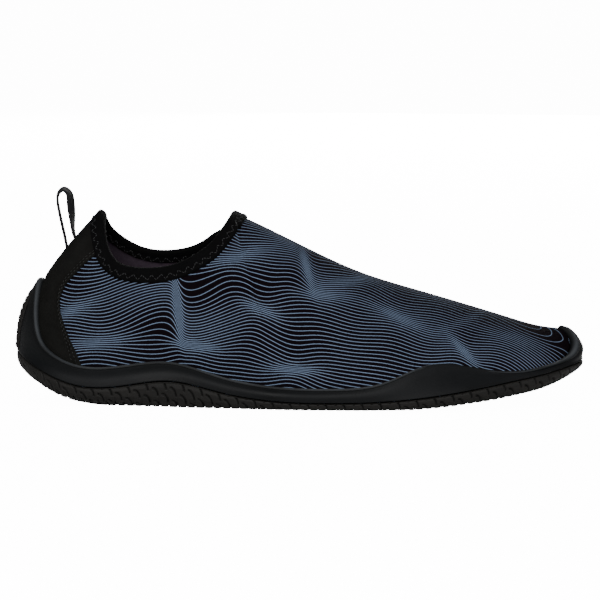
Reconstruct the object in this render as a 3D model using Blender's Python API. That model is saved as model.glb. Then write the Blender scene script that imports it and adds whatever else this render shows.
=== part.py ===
# Slip-on water shoe for the right foot, standing on its sole.
# The toe points to +X, the outer side of the foot to -Y and up is +Z. Units are metres.
import math

import bmesh
import bpy
import numpy as np
from mathutils import Vector
from mathutils.bvhtree import BVHTree

# Driving sizes of the shoe
LENGTH = 0.280            # heel to toe, over the rubber
WIDTH = 0.100             # across the ball, over the rubber
BACK_HEIGHT = 0.0933      # floor to the peak of the collar behind the heel
SIDE_HEIGHT = 0.0252      # floor to the top of the outsole's rim behind the heel
CUP_HEIGHT = 0.0600       # floor to the top of the rand behind the heel

# Walls and layers
UPPER_WALL = 0.0020
RAND_LIP = 0.0019         # thickness of the rand near its top edge
RAND_SHELF = 0.0043       # width of the rand's foot, from the outline to the upper
PANEL_THICKNESS = 0.0010
BINDING_THICKNESS = 0.0009
BINDING_DEPTH = 0.0082    # width of the band outside the collar
BINDING_INSIDE = 0.0070   # width of the band inside the collar
INSOLE_THICKNESS = 0.0028
FIT = 0.0003              # gap between curved pieces that touch
CLOTH_FIT = 0.0005        # gap under the heel panel
BAND_FIT = 0.0009         # gap under the collar's folded band
INSOLE_FIT = 0.0009       # play round the insole
GROOVE = 0.0005           # open line between the outsole's rim and the rand

# Tread
LUG_PITCH = 0.0105
LUG_DEPTH = 0.0010
EDGE_BAND = 0.0160        # width of the rounded band along the outsole's edge
STRIP_PITCH = 0.0031      # teeth of the strip behind the heel
STRIP_TOOTH = 0.0007
STRIP_BASE = 0.0006
STRIP_WIDTH = 0.0150

# Pull loop
LOOP_RISE = 0.0320        # from its lower end to its top
LOOP_WIDTH = 0.0056
LOOP_THICKNESS = 0.0011

# Edge of the sole, one row for each station from the heel centre to the toe centre.
# along: share of LENGTH. across: share of half WIDTH.
# edge, bed and groove: shares of SIDE_HEIGHT. lip: share of CUP_HEIGHT.
EDGE_COLUMNS = ("along", "across", "edge", "bed", "groove", "lip")
OUTER_EDGE = (
    (0.0046, 0.000, 0.690, 0.855, 1.000, 1.000),
    (0.0093, 0.160, 0.660, 0.815, 0.976, 0.870),
    (0.0214, 0.300, 0.565, 0.695, 0.880, 0.650),
    (0.0536, 0.480, 0.380, 0.480, 0.680, 0.440),
    (0.1071, 0.620, 0.198, 0.350, 0.460, 0.340),
    (0.1857, 0.686, 0.107, 0.317, 0.440, 0.341),
    (0.2750, 0.700, 0.036, 0.294, 0.544, 0.373),
    (0.3679, 0.746, 0.020, 0.246, 0.325, 0.253),
    (0.4143, 0.790, 0.016, 0.190, 0.238, 0.208),
    (0.4643, 0.840, 0.016, 0.146, 0.183, 0.181),
    (0.5607, 0.936, 0.028, 0.138, 0.173, 0.175),
    (0.6500, 0.990, 0.044, 0.138, 0.218, 0.232),
    (0.7321, 0.980, 0.091, 0.178, 0.310, 0.381),
    (0.8036, 0.906, 0.179, 0.274, 0.433, 0.360),
    (0.8750, 0.746, 0.274, 0.405, 0.563, 0.315),
    (0.9286, 0.540, 0.369, 0.516, 0.651, 0.360),
    (0.9679, 0.280, 0.492, 0.603, 0.726, 0.440),
    (0.9911, 0.040, 0.587, 0.683, 0.762, 0.514),
    (1.0000, -0.160, 0.627, 0.714, 0.778, 0.533),
)
INNER_EDGE = (
    (0.0046, 0.000, 0.690, 0.855, 1.000, 1.000),
    (0.0093, 0.160, 0.660, 0.815, 0.976, 0.870),
    (0.0214, 0.300, 0.565, 0.695, 0.880, 0.650),
    (0.0536, 0.490, 0.380, 0.480, 0.680, 0.440),
    (0.1071, 0.626, 0.198, 0.350, 0.470, 0.345),
    (0.1857, 0.674, 0.107, 0.317, 0.460, 0.350),
    (0.2750, 0.644, 0.048, 0.294, 0.563, 0.385),
    (0.3679, 0.590, 0.060, 0.250, 0.456, 0.300),
    (0.4143, 0.588, 0.048, 0.200, 0.357, 0.258),
    (0.4643, 0.620, 0.032, 0.155, 0.258, 0.217),
    (0.5607, 0.744, 0.028, 0.138, 0.194, 0.192),
    (0.6500, 0.890, 0.044, 0.138, 0.222, 0.217),
    (0.7321, 1.000, 0.091, 0.178, 0.310, 0.317),
    (0.8036, 1.014, 0.171, 0.270, 0.421, 0.383),
    (0.8750, 0.924, 0.262, 0.396, 0.548, 0.350),
    (0.9286, 0.770, 0.365, 0.512, 0.643, 0.363),
    (0.9679, 0.570, 0.488, 0.603, 0.722, 0.436),
    (0.9911, 0.370, 0.585, 0.683, 0.762, 0.512),
    (1.0000, 0.160, 0.627, 0.714, 0.778, 0.533),
)

# Top edge of the upper at the same stations: the collar's rim up to COLLAR_ROW,
# then the ridge of the vamp, which both sides share.
# along: share of LENGTH. outer, inner: shares of half WIDTH. heights: shares of BACK_HEIGHT.
TOP_COLUMNS = ("along", "outer", "outer_height", "inner", "inner_height")
COLLAR_ROW = 9
TOP_EDGE = (
    (0.1536, 0.000, 1.000, 0.000, 1.000),
    (0.1539, 0.120, 0.976, 0.120, 0.981),
    (0.1564, 0.226, 0.912, 0.226, 0.932),
    (0.1643, 0.320, 0.831, 0.324, 0.857),
    (0.1821, 0.390, 0.774, 0.400, 0.804),
    (0.2232, 0.446, 0.738, 0.456, 0.769),
    (0.2821, 0.466, 0.750, 0.474, 0.778),
    (0.3464, 0.434, 0.841, 0.442, 0.862),
    (0.3757, 0.312, 0.925, 0.324, 0.938),
    (0.3893, -0.010, 0.990, 0.010, 0.990),
    (0.5000, -0.060, 0.829, 0.060, 0.829),
    (0.6071, -0.140, 0.677, 0.140, 0.677),
    (0.7071, -0.200, 0.579, 0.200, 0.579),
    (0.7893, -0.220, 0.505, 0.220, 0.505),
    (0.8607, -0.210, 0.440, 0.210, 0.440),
    (0.9036, -0.190, 0.402, 0.190, 0.402),
    (0.9304, -0.180, 0.382, 0.180, 0.382),
    (0.9446, -0.172, 0.370, 0.172, 0.370),
    (0.9518, -0.166, 0.364, 0.166, 0.364),
)

# The vamp's arch where the collar's front edge cuts it
INSTEP_SLOPE = 0.43       # fall of the ridge for each length forward
INSTEP_REACH = 0.56       # share of half WIDTH

# Fullness of the upper's wall at the same stations.
# rise and drop: shares of BACK_HEIGHT. swell and reach: shares of half WIDTH.
WALL_COLUMNS = ("rise", "swell", "outer_reach", "inner_reach", "drop")
WALL_SHAPE = (
    (0.257, 0.088, 0.460, 0.460, 0.250),
    (0.257, 0.088, 0.440, 0.440, 0.247),
    (0.257, 0.084, 0.340, 0.340, 0.257),
    (0.257, 0.080, 0.200, 0.200, 0.268),
    (0.257, 0.070, 0.120, 0.120, 0.279),
    (0.257, 0.064, 0.080, 0.080, 0.279),
    (0.257, 0.060, 0.090, 0.090, 0.279),
    (0.257, 0.052, 0.100, 0.100, 0.214),
    (0.257, 0.044, 0.200, 0.200, 0.120),
    (0.257, 0.040, 0.500, 0.470, 0.000),
    (0.236, 0.032, 0.500, 0.440, 0.000),
    (0.214, 0.028, 0.500, 0.420, 0.000),
    (0.193, 0.024, 0.500, 0.420, 0.000),
    (0.171, 0.024, 0.480, 0.420, 0.000),
    (0.139, 0.024, 0.400, 0.360, 0.000),
    (0.118, 0.024, 0.300, 0.290, 0.000),
    (0.102, 0.024, 0.200, 0.200, 0.000),
    (0.091, 0.024, 0.140, 0.140, 0.000),
    (0.086, 0.024, 0.110, 0.110, 0.000),
)

# Underside along the middle: along as a share of LENGTH, height as a share of SIDE_HEIGHT.
# It lies on the floor under the heel and under the ball.
GROUND = (
    (0.0000, 1.060), (0.0089, 0.870), (0.0179, 0.670), (0.0314, 0.500), (0.0536, 0.321),
    (0.0821, 0.163), (0.1107, 0.071), (0.1429, 0.020), (0.1679, 0.000), (0.2750, 0.000),
    (0.3600, 0.028), (0.4300, 0.000), (0.7000, 0.000), (0.7679, 0.063), (0.8393, 0.159),
    (0.9036, 0.278), (0.9464, 0.397), (0.9821, 0.540), (1.0000, 0.650),
)
FLAT_SPOTS = ((0.170, 0.235), (0.570, 0.655))   # stretches of LENGTH with no lug grooves

# Front edge of the heel panel: share of BACK_HEIGHT, share of LENGTH from the heel.
PANEL_EDGE = (
    (0.210, 0.1240), (0.290, 0.1130), (0.350, 0.1030), (0.420, 0.0929),
    (0.500, 0.0846), (0.565, 0.0829), (0.640, 0.0950), (0.700, 0.1130), (0.780, 0.1380),
)

# Centre line of the pull loop: back and up are shares of LOOP_RISE from its lower end.
LOOP_ROUTE = (
    (0.000, 0.000), (-0.010, 0.120), (0.045, 0.300), (0.085, 0.500), (0.112, 0.700),
    (0.112, 0.850), (0.078, 0.945), (0.010, 0.985), (-0.058, 0.945), (-0.100, 0.850),
    (-0.125, 0.690), (-0.150, 0.520), (-0.172, 0.400),
)

# Columns of the loft between one station and the next, from heel to toe
COLUMNS_BETWEEN = (2, 2, 3, 3, 2, 2, 2, 3, 4, 3, 2, 2, 2, 2, 3, 3, 2, 2)

COLORS = {
    "outsole": (0.020, 0.018, 0.017),
    "heel_tread": (0.020, 0.018, 0.017),
    "rand": (0.030, 0.034, 0.038),
    "upper": (0.035, 0.040, 0.065),
    "heel_panel": (0.014, 0.014, 0.014),
    "collar_binding": (0.010, 0.010, 0.011),
    "pull_loop": (0.012, 0.012, 0.012),
    "insole": (0.055, 0.045, 0.050),
}
ROUGHNESS = {"outsole": 0.75, "heel_tread": 0.75, "rand": 0.55}
CLOTH_ROUGHNESS = 0.9

UP = np.array((0.0, 0.0, 1.0))


def unit(vectors):
    """Vectors scaled to length one."""
    length = np.linalg.norm(vectors, axis=-1, keepdims=True)
    return vectors / np.maximum(length, 1e-12)


def shares(table, columns, name, size=1.0):
    """One named column of a table, times the size that it follows."""
    index = columns.index(name)
    return np.array([row[index] for row in table]) * size


def spline(knots, values, closed):
    """Smooth curve through values at knots; a closed one repeats after its last knot."""
    knots = np.asarray(knots, float)
    values = np.asarray(values, float)
    if values.ndim == 1:
        values = values[:, None]
    step = np.diff(knots)
    slope = np.diff(values, axis=0) / step[:, None]
    count = len(knots)
    matrix = np.zeros((count, count))
    right = np.zeros_like(values)
    for i in range(1, count - 1):
        matrix[i, i - 1:i + 2] = step[i - 1], 2 * (step[i - 1] + step[i]), step[i]
        right[i] = 6 * (slope[i] - slope[i - 1])
    if closed:
        matrix[0, 0] = 1
        matrix[0, -1] = -1
        matrix[-1, 0] = 2 * (step[-1] + step[0])
        matrix[-1, 1] += step[0]
        matrix[-1, -2] += step[-1]
        right[-1] = 6 * (slope[0] - slope[-1])
    else:
        matrix[0, 0] = matrix[-1, -1] = 1
    bend = np.linalg.solve(matrix, right)
    first = knots[0]
    period = knots[-1] - knots[0]

    def curve(where):
        where = np.atleast_1d(np.asarray(where, float))
        if closed:
            where = first + np.mod(where - first, period)
        i = np.clip(np.searchsorted(knots, where, side="right") - 1, 0, count - 2)
        h = step[i][:, None]
        a = (knots[i + 1] - where)[:, None] / h
        b = 1 - a
        return (a * values[i] + b * values[i + 1]
                + ((a ** 3 - a) * bend[i] + (b ** 3 - b) * bend[i + 1]) * h ** 2 / 6)

    return curve


def around(outer, inner):
    """Values of the outer side heel to toe, then of the inner side back to the heel."""
    return np.concatenate([outer, inner[-2::-1]], axis=0)


# Place of each station round the sole: 0 at the heel centre, 1 at the toe centre
# on the outer side, and on to 2 at the heel again on the inner side.
outer_plan = np.stack([
    shares(OUTER_EDGE, EDGE_COLUMNS, "along", LENGTH),
    -shares(OUTER_EDGE, EDGE_COLUMNS, "across", WIDTH / 2)], axis=1)
inner_plan = np.stack([
    shares(INNER_EDGE, EDGE_COLUMNS, "along", LENGTH),
    shares(INNER_EDGE, EDGE_COLUMNS, "across", WIDTH / 2)], axis=1)
steps = (np.linalg.norm(np.diff(outer_plan, axis=0), axis=1)
         + np.linalg.norm(np.diff(inner_plan, axis=0), axis=1)) / 2
side_length = steps.sum()
stations = np.concatenate([[0.0], np.cumsum(steps)]) / side_length
loop_knots = np.concatenate([stations, 2 - stations[-2::-1]])
collar_at = stations[COLLAR_ROW]

outline_curve = spline(loop_knots, around(outer_plan, inner_plan), True)
height_curves = {}
for name, size in (("edge", SIDE_HEIGHT), ("bed", SIDE_HEIGHT),
                   ("groove", SIDE_HEIGHT), ("lip", CUP_HEIGHT)):
    sides = around(shares(OUTER_EDGE, EDGE_COLUMNS, name, size),
                   shares(INNER_EDGE, EDGE_COLUMNS, name, size))
    height_curves[name] = spline(loop_knots, sides, True)


def level(name, w):
    """Height of the sole's edge, bed, groove or lip at w."""
    return height_curves[name](w)[:, 0]


def outward(w):
    """Level direction that points out of the sole at w."""
    h = 1e-4
    along = outline_curve(w + h) - outline_curve(w - h)
    return unit(np.stack([along[:, 1], -along[:, 0], np.zeros(len(along))], axis=1))


def outline(w, inset, height):
    """Point at w, set in from the outline, at a height."""
    flat = outline_curve(w)
    point = np.stack([flat[:, 0], flat[:, 1], np.zeros(len(flat))], axis=1)
    return point - outward(w) * np.reshape(inset, (-1, 1)) + UP * np.reshape(height, (-1, 1))


def top_points(side):
    """Rows of the upper's top edge on one side."""
    sign = -1 if side == "outer" else 1
    return np.stack([
        shares(TOP_EDGE, TOP_COLUMNS, "along", LENGTH),
        sign * shares(TOP_EDGE, TOP_COLUMNS, side, WIDTH / 2),
        shares(TOP_EDGE, TOP_COLUMNS, side + "_height", BACK_HEIGHT)], axis=1)


rim_rows = slice(0, COLLAR_ROW + 1)
rim_curve = spline(
    np.concatenate([stations[rim_rows], 2 * collar_at - stations[rim_rows][-2::-1]]),
    around(top_points("outer")[rim_rows], top_points("inner")[rim_rows]), True)
ridge_curve = spline(stations[COLLAR_ROW:], top_points("outer")[COLLAR_ROW:], False)
wall_curve = spline(loop_knots, around(
    np.stack([shares(WALL_SHAPE, WALL_COLUMNS, "rise", BACK_HEIGHT),
              shares(WALL_SHAPE, WALL_COLUMNS, "swell", WIDTH / 2),
              shares(WALL_SHAPE, WALL_COLUMNS, "outer_reach", WIDTH / 2),
              shares(WALL_SHAPE, WALL_COLUMNS, "drop", BACK_HEIGHT)], axis=1),
    np.stack([shares(WALL_SHAPE, WALL_COLUMNS, "rise", BACK_HEIGHT),
              shares(WALL_SHAPE, WALL_COLUMNS, "swell", WIDTH / 2),
              shares(WALL_SHAPE, WALL_COLUMNS, "inner_reach", WIDTH / 2),
              shares(WALL_SHAPE, WALL_COLUMNS, "drop", BACK_HEIGHT)], axis=1)), True)


def ridge_normal(u):
    """Direction square to the vamp's ridge, pointing up."""
    h = 1e-3
    u = np.clip(u, collar_at, 1 - h)
    along = ridge_curve(u + h) - ridge_curve(np.maximum(u - h, collar_at))
    along[:, 1] = 0
    side = np.tile((0.0, -1.0, 0.0), (len(along), 1))
    return unit(np.cross(side, along))


def top_edge(w):
    """Point of the top edge at w and the direction in which the wall leaves it."""
    w = np.mod(w, 2)
    side = np.where(w <= 1, 1.0, -1.0)
    u = np.where(w <= 1, w, 2 - w)
    on_rim = u < collar_at
    rim_place = np.where(w <= 1, u, 2 * collar_at - u)
    point = np.where(on_rim[:, None], rim_curve(rim_place), ridge_curve(np.maximum(u, collar_at)))
    lean_from = 0.72 * collar_at
    lean = np.clip((u - lean_from) / (collar_at - lean_from), 0, 1)[:, None]
    normal = unit(UP * (1 - lean) + ridge_normal(u) * lean)
    out = outward(w)
    out = unit(out - normal * np.sum(out * normal, axis=1, keepdims=True))
    return point, out, normal, u, side


def bend_through(points, t):
    """Curve from the first point to the last, pulled towards the two between."""
    s = 1 - t
    foot, low, high, top = points
    return s ** 3 * foot + 3 * s ** 2 * t * low + 3 * s * t ** 2 * high + t ** 3 * top


def instep_arch(w, foot, low, lean_out, u):
    """The vamp's arch carried back over the front of the collar, up to its middle."""
    rim = rim_curve(np.where(w <= 1, np.minimum(u, collar_at),
                             2 * collar_at - np.minimum(u, collar_at)))
    front = ridge_curve(collar_at)
    top = np.repeat(front, len(w), axis=0)
    top[:, 0] = rim[:, 0]
    top[:, 2] += INSTEP_SLOPE * (front[0, 0] - rim[:, 0])
    high = top + lean_out * INSTEP_REACH * WIDTH / 2
    return (foot, low, high, top), rim[:, 1]


def rim_shares(outer):
    """How far up the arch the collar's rim lies, for places on one side."""
    u = np.linspace(stations[COLLAR_ROW - 2], collar_at, 160)
    w = u if outer else 2 - u
    foot, low, lean_out = wall_foot(w)[:3]
    arch, wanted = instep_arch(w, foot, low, lean_out, u)
    near = np.full((len(u), 1), 0.45)
    far = np.ones((len(u), 1))
    for _ in range(30):
        middle = (near + far) / 2
        beyond = np.abs(bend_through(arch, middle)[:, 1:2] - arch[3][:, 1:2]) > np.abs(
            wanted[:, None] - arch[3][:, 1:2])
        near = np.where(beyond, middle, near)
        far = np.where(beyond, far, middle)
    return u, ((near + far) / 2)[:, 0]


def wall_foot(w):
    """Foot of the upper's wall at w, the point above it that it heads for, and its top."""
    foot = outline(w, RAND_SHELF + FIT, level("bed", w) + FIT)
    top, lean_out, _, u, side = top_edge(w)
    wall = wall_curve(w)
    low = foot + UP * wall[:, 0:1] + outward(w) * wall[:, 1:2]
    high = top + lean_out * wall[:, 2:3] - UP * wall[:, 3:4]
    return foot, low, lean_out, high, top, u, side


def skin(w, t):
    """Outer face of the upper: w runs round the shoe, t from its foot up to its top edge."""
    w = np.mod(np.atleast_1d(np.asarray(w, float)), 2)
    t = np.broadcast_to(np.asarray(t, float), w.shape)[:, None]
    foot, low, lean_out, high, top, u, side = wall_foot(w)
    points = bend_through((foot, low, high, top), t)
    start, full = stations[COLLAR_ROW - 2], stations[COLLAR_ROW - 1]
    blend = np.clip((u - start) / (full - start), 0, 1) * (u < collar_at)
    blend = (blend ** 2 * (3 - 2 * blend))[:, None]
    arch = instep_arch(w, foot, low, lean_out, u)[0]
    share = np.where(side > 0, np.interp(u, *outer_rim), np.interp(u, *inner_rim))[:, None]
    return points * (1 - blend) + bend_through(arch, t * share) * blend


outer_rim = rim_shares(True)
inner_rim = rim_shares(False)


def skin_normal(w, t):
    """Direction out of the upper at w, t."""
    w = np.atleast_1d(np.asarray(w, float))
    t = np.broadcast_to(np.asarray(t, float), w.shape)
    h = 1e-4
    along = skin(w + h, t) - skin(w - h, t)
    up = skin(w, np.minimum(t + h, 1)) - skin(w, np.maximum(t - h, 0))
    normal = unit(np.cross(along, up))
    plane, u = top_edge(w)[2:4]
    weight = ((u >= collar_at - 1e-6) * np.clip((t - 0.96) / 0.04, 0, 1))[:, None]
    return unit(normal * (1 - weight) + plane * weight)


def off_skin(w, t, offset):
    """Point at a distance from the upper's outer face, measured square to it."""
    return skin(w, t) + skin_normal(w, t) * np.reshape(offset, (-1, 1))


def at_height(w, height):
    """The t at which the upper's outer face reaches a height."""
    low = np.zeros(len(w))
    high = np.ones(len(w))
    for _ in range(30):
        middle = (low + high) / 2
        below = skin(w, middle)[:, 2] < height
        low = np.where(below, middle, low)
        high = np.where(below, high, middle)
    return (low + high) / 2


def rand_outer(w, share):
    """Outer face of the rand, from the groove (share 0) to just under its lip (share 1)."""
    base = level("groove", w) + GROOVE / 2
    height = base + share * (level("lip", w) - base)
    t = at_height(w, height)
    foot = outline(w, 0.0, height)
    lip = off_skin(w, t, RAND_LIP + FIT)
    blend = (1 - np.clip(share / 0.75, 0, 1)) ** 1.5
    return lip * (1 - blend) + foot * blend


def make_object(name, points, faces, smooth_angle=40):
    """A named object from the points and faces of a loft, closed and facing out."""
    mesh = bmesh.new()
    verts = [mesh.verts.new(Vector(p)) for p in points]
    for face in faces:
        corners = []
        for index in face:
            if verts[index] not in corners:
                corners.append(verts[index])
        if len(corners) > 2:
            mesh.faces.new(corners)
    bmesh.ops.remove_doubles(mesh, verts=mesh.verts, dist=1e-6)
    bmesh.ops.triangulate(mesh, faces=mesh.faces)
    bmesh.ops.recalc_face_normals(mesh, faces=mesh.faces)
    data = bpy.data.meshes.new(name)
    mesh.to_mesh(data)
    mesh.free()
    data.shade_smooth()
    data.set_sharp_from_angle(angle=math.radians(smooth_angle))
    material = bpy.data.materials.new(name)
    material.use_nodes = True
    shader = material.node_tree.nodes["Principled BSDF"]
    shader.inputs["Base Color"].default_value = (*COLORS[name], 1)
    shader.inputs["Roughness"].default_value = ROUGHNESS.get(name, CLOTH_ROUGHNESS)
    shader.inputs["Metallic"].default_value = 0.0
    data.materials.append(material)
    thing = bpy.data.objects.new(name, data)
    shoe_parts.objects.link(thing)
    return thing


def ring_faces(columns, rows, round_section, round_ring, skip=lambda column, row: False):
    """Quads between the sections of a loft; point index is column * rows + row."""
    faces = []
    for c in range(columns if round_ring else columns - 1):
        d = (c + 1) % columns
        for r in range(rows if round_section else rows - 1):
            q = (r + 1) % rows
            if not skip(c, r):
                faces.append((c * rows + r, d * rows + r, d * rows + q, c * rows + q))
    return faces


def span_faces(columns, rows, row):
    """Quads across the shoe between the outer and the inner side of one row of a ring."""
    half = columns // 2
    faces = []
    for k in range(half):
        left = (k, k + 1)
        right = ((columns - k) % columns, (columns - k - 1) % columns)
        corners = (left[0], left[1], right[1], right[0])
        faces.append([corner * rows + row for corner in dict.fromkeys(corners)])
    return faces


def loft(name, sections, round_section=True, round_ring=True, **options):
    """An object through sections, an array of columns by rows by three."""
    columns, rows = sections.shape[:2]
    faces = ring_faces(columns, rows, round_section, round_ring,
                       options.pop("skip", lambda column, row: False))
    if not round_section:
        faces += span_faces(columns, rows, 0) + span_faces(columns, rows, rows - 1)
    if not round_ring:
        faces.append(list(range(rows)))
        faces.append([(columns - 1) * rows + r for r in range(rows)])
    return make_object(name, sections.reshape(-1, 3), faces, **options)


def side_columns():
    """Places of the loft's columns from heel to toe on one side."""
    places = []
    for i, count in enumerate(COLUMNS_BETWEEN):
        places += list(stations[i] + (stations[i + 1] - stations[i]) * np.arange(count) / count)
    return np.array(places + [1.0])


def ring_columns():
    """Places of all columns round the shoe."""
    side = side_columns()
    return np.concatenate([side, 2 - side[-2:0:-1]])


def collar_frames():
    """Rim points, their directions away from the opening and out of the upper."""
    side = side_columns()
    side = side[side <= collar_at + 1e-9]
    place = np.concatenate([side, 2 * collar_at - side[-2:0:-1]])
    w = np.where(place <= collar_at, place, 2 - (2 * collar_at - place))
    h = 1e-4
    rim = skin(w, 1.0)
    after = place + h
    before = place - h
    along = (skin(np.where(after <= collar_at, after, 2 - (2 * collar_at - after)), 1.0)
             - skin(np.where(before <= collar_at, before, 2 - (2 * collar_at - before)), 1.0))
    along = unit(along)
    out = skin_normal(w, 1.0)
    away = unit(np.cross(along, out))
    out = unit(np.cross(away, along))
    return rim, away, out


def build_upper():
    """The hollow sock: outer face, rim and inner face in one closed section."""
    w = ring_columns()
    lip = at_height(w, level("lip", w))
    outer = [lip * share for share in (0.0, 0.35, 0.7, 1.0)]
    outer += [lip + (1 - lip) * share for share in (0.25, 0.5, 0.74, 0.9, 1.0)]
    inner = [lip + (1 - lip) * share for share in (1.0, 0.95, 0.88, 0.7, 0.4, 0.1)]
    inner += [lip * 0.5, 0 * lip]
    rows = [off_skin(w, t, 0 * w) for t in outer]
    rows += [off_skin(w, t, 0 * w - UPPER_WALL) for t in inner]
    sections = np.stack(rows, axis=1)
    rim, away, out = collar_frames()
    half = len(rim) // 2
    rim_columns = list(range(half + 1)) + list(range(len(w) - half + 1, len(w)))
    sections[rim_columns, len(outer)] = rim - out * UPPER_WALL
    u = np.where(w <= 1, w, 2 - w)
    on_ridge = u >= collar_at - 1e-9
    top_row = len(outer) - 1
    for k in np.nonzero(on_ridge)[0]:
        partner = (len(w) - k) % len(w)
        for row in (top_row, top_row + 1):
            middle = (sections[k, row] + sections[partner, row]) / 2
            sections[k, row] = sections[partner, row] = middle

    def inside_ridge(column, row):
        return row == top_row and on_ridge[column] and on_ridge[(column + 1) % len(w)]

    return loft("upper", sections, skip=inside_ridge)


def build_rand():
    """Rubber side wall between the outsole's rim and its lip on the upper."""
    w = ring_columns()
    base = level("groove", w) + GROOVE / 2
    lip = level("lip", w)
    rows = [off_skin(w, at_height(w, base + (lip - base) * share), 0 * w + FIT)
            for share in (0.0, 0.35, 0.7, 0.98)]
    lip_t = at_height(w, lip)
    rows.append(off_skin(w, lip_t, 0 * w + FIT + RAND_LIP * 0.45) + UP * RAND_LIP * 0.25)
    rows += [rand_outer(w, share) for share in (0.93, 0.75, 0.45, 0.15, 0.0)]
    loft("rand", np.stack(rows, axis=1))


def ground_height(along):
    """Height of the underside along the middle of the shoe."""
    table = np.array(GROUND)
    return np.interp(along, table[:, 0] * LENGTH, table[:, 1] * SIDE_HEIGHT)


def refine(sections):
    """More columns along straight facets, and the number of each from the heel."""
    side = side_columns()
    columns = len(sections)
    half = len(side) - 1
    fine = []
    numbers = []
    count = 0
    counts = [max(1, round((side[k + 1] - side[k]) * side_length / (LUG_PITCH / 3)))
              for k in range(half)]
    for k in range(half):
        for i in range(counts[k]):
            fine.append(sections[k] + (sections[k + 1] - sections[k]) * i / counts[k])
            numbers.append(count)
            count += 1
    last = count
    for k in range(half, columns):
        there = sections[k]
        beyond = sections[(k + 1) % columns]
        pieces = counts[columns - k - 1]
        for i in range(pieces):
            fine.append(there + (beyond - there) * i / pieces)
            numbers.append(last)
            last -= 1
    return np.array(fine), np.array(numbers)


def build_outsole():
    """Tread: bed, rim, rounded side and underside, with lugs that run out at the side."""
    w = ring_columns()
    edge = level("edge", w)
    bed = level("bed", w)
    rim = level("groove", w) - GROOVE / 2
    side = rim - edge
    rows = [outline(w, RAND_SHELF, bed),
            off_skin(w, at_height(w, rim), 0 * w + FIT)]
    for inset, share in ((0.0002, 0.0), (0.0, 0.22), (0.0004, 0.60), (0.0014, 0.88)):
        rows.append(outline(w, inset, rim - side * share))
    rows.append(outline(w, 0.0034, edge))
    middle = outline(w, EDGE_BAND * 0.56, 0.0)
    inner = outline(w, EDGE_BAND, 0.0)
    over = np.maximum(edge - ground_height(rows[-1][:, 0]), 0)
    middle[:, 2] = ground_height(middle[:, 0]) + 0.3 * over
    inner[:, 2] = ground_height(inner[:, 0])
    rows += [middle, inner]
    sections, numbers = refine(np.stack(rows, axis=1))
    cut = (numbers % 3 == 2) * LUG_DEPTH
    along = sections[:, 8, 0] / LENGTH
    flat = np.zeros(len(along), bool)
    for start, end in FLAT_SPOTS:
        flat |= (along > start) & (along < end)
    centre = sections[:, :, :2].mean(axis=(0, 1))
    for row, lift, draw_in in ((4, 0.0, 0.3), (5, 0.15, 0.8), (6, 0.85, 0.6), (7, 1.0, 0.0)):
        inwards = np.zeros((len(cut), 3))
        inwards[:, :2] = centre - sections[:, row, :2]
        inwards[:, 0] *= 0.35
        sections[:, row] += unit(inwards) * (cut * draw_in)[:, None]
        sections[:, row, 2] += cut * lift
    sections[:, 8, 2] += np.where(flat, 0, cut)
    loft("outsole", sections, round_section=False)


def build_heel_tread():
    """Toothed strip that climbs the rand behind the heel."""
    half = STRIP_WIDTH / 2 / side_length
    bottom, top = 0.03, 0.66
    height = (CUP_HEIGHT - SIDE_HEIGHT) * (top - bottom)
    teeth = max(2, round(height / STRIP_PITCH))
    shares_up = []
    depth = []
    for tooth in range(teeth):
        for place, tall in ((0.0, 0.0), (0.25, 1.0), (0.65, 1.0), (0.9, 0.0)):
            shares_up.append(bottom + (top - bottom) * (tooth + place) / teeth)
            depth.append(tall)
    shares_up.append(top)
    depth.append(0.0)
    sections = []
    for side in (-1.0, -0.6, 0.0, 0.6, 1.0):
        fade = 1.0 if abs(side) < 0.9 else 0.3
        inner = []
        outer = []
        for share, tall in zip(shares_up, depth):
            taper = 1 - 0.35 * max(0.0, (share - 0.45) / (top - 0.45))
            w = np.array([side * half * taper])
            h = 1e-3
            base = rand_outer(w, share)
            along = rand_outer(w + h, share) - rand_outer(w - h, share)
            up = rand_outer(w, share + 0.02) - rand_outer(w, share - 0.02)
            normal = unit(np.cross(along, up))
            inner.append((base + normal * (FIT + 0.0001))[0])
            outer.append((base + normal * (FIT + STRIP_BASE + STRIP_TOOTH * tall * fade))[0])
        sections.append(inner + outer[::-1])
    loft("heel_tread", np.array(sections), round_ring=False, smooth_angle=30)


def beside_wall(net, rim, away, out, distance, start):
    """Points on the upper's wall at a distance from the rim, and directions out of the wall."""
    found = []
    normals = []
    for target in rim + away * distance + out * start:
        near, normal = net.find_nearest(Vector(target))[:2]
        found.append(near)
        normals.append(normal)
    normals = np.array(normals)
    smooth = np.roll(normals, 1, axis=0) + 2 * normals + np.roll(normals, -1, axis=0)
    return np.array(found), unit(smooth)


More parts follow.
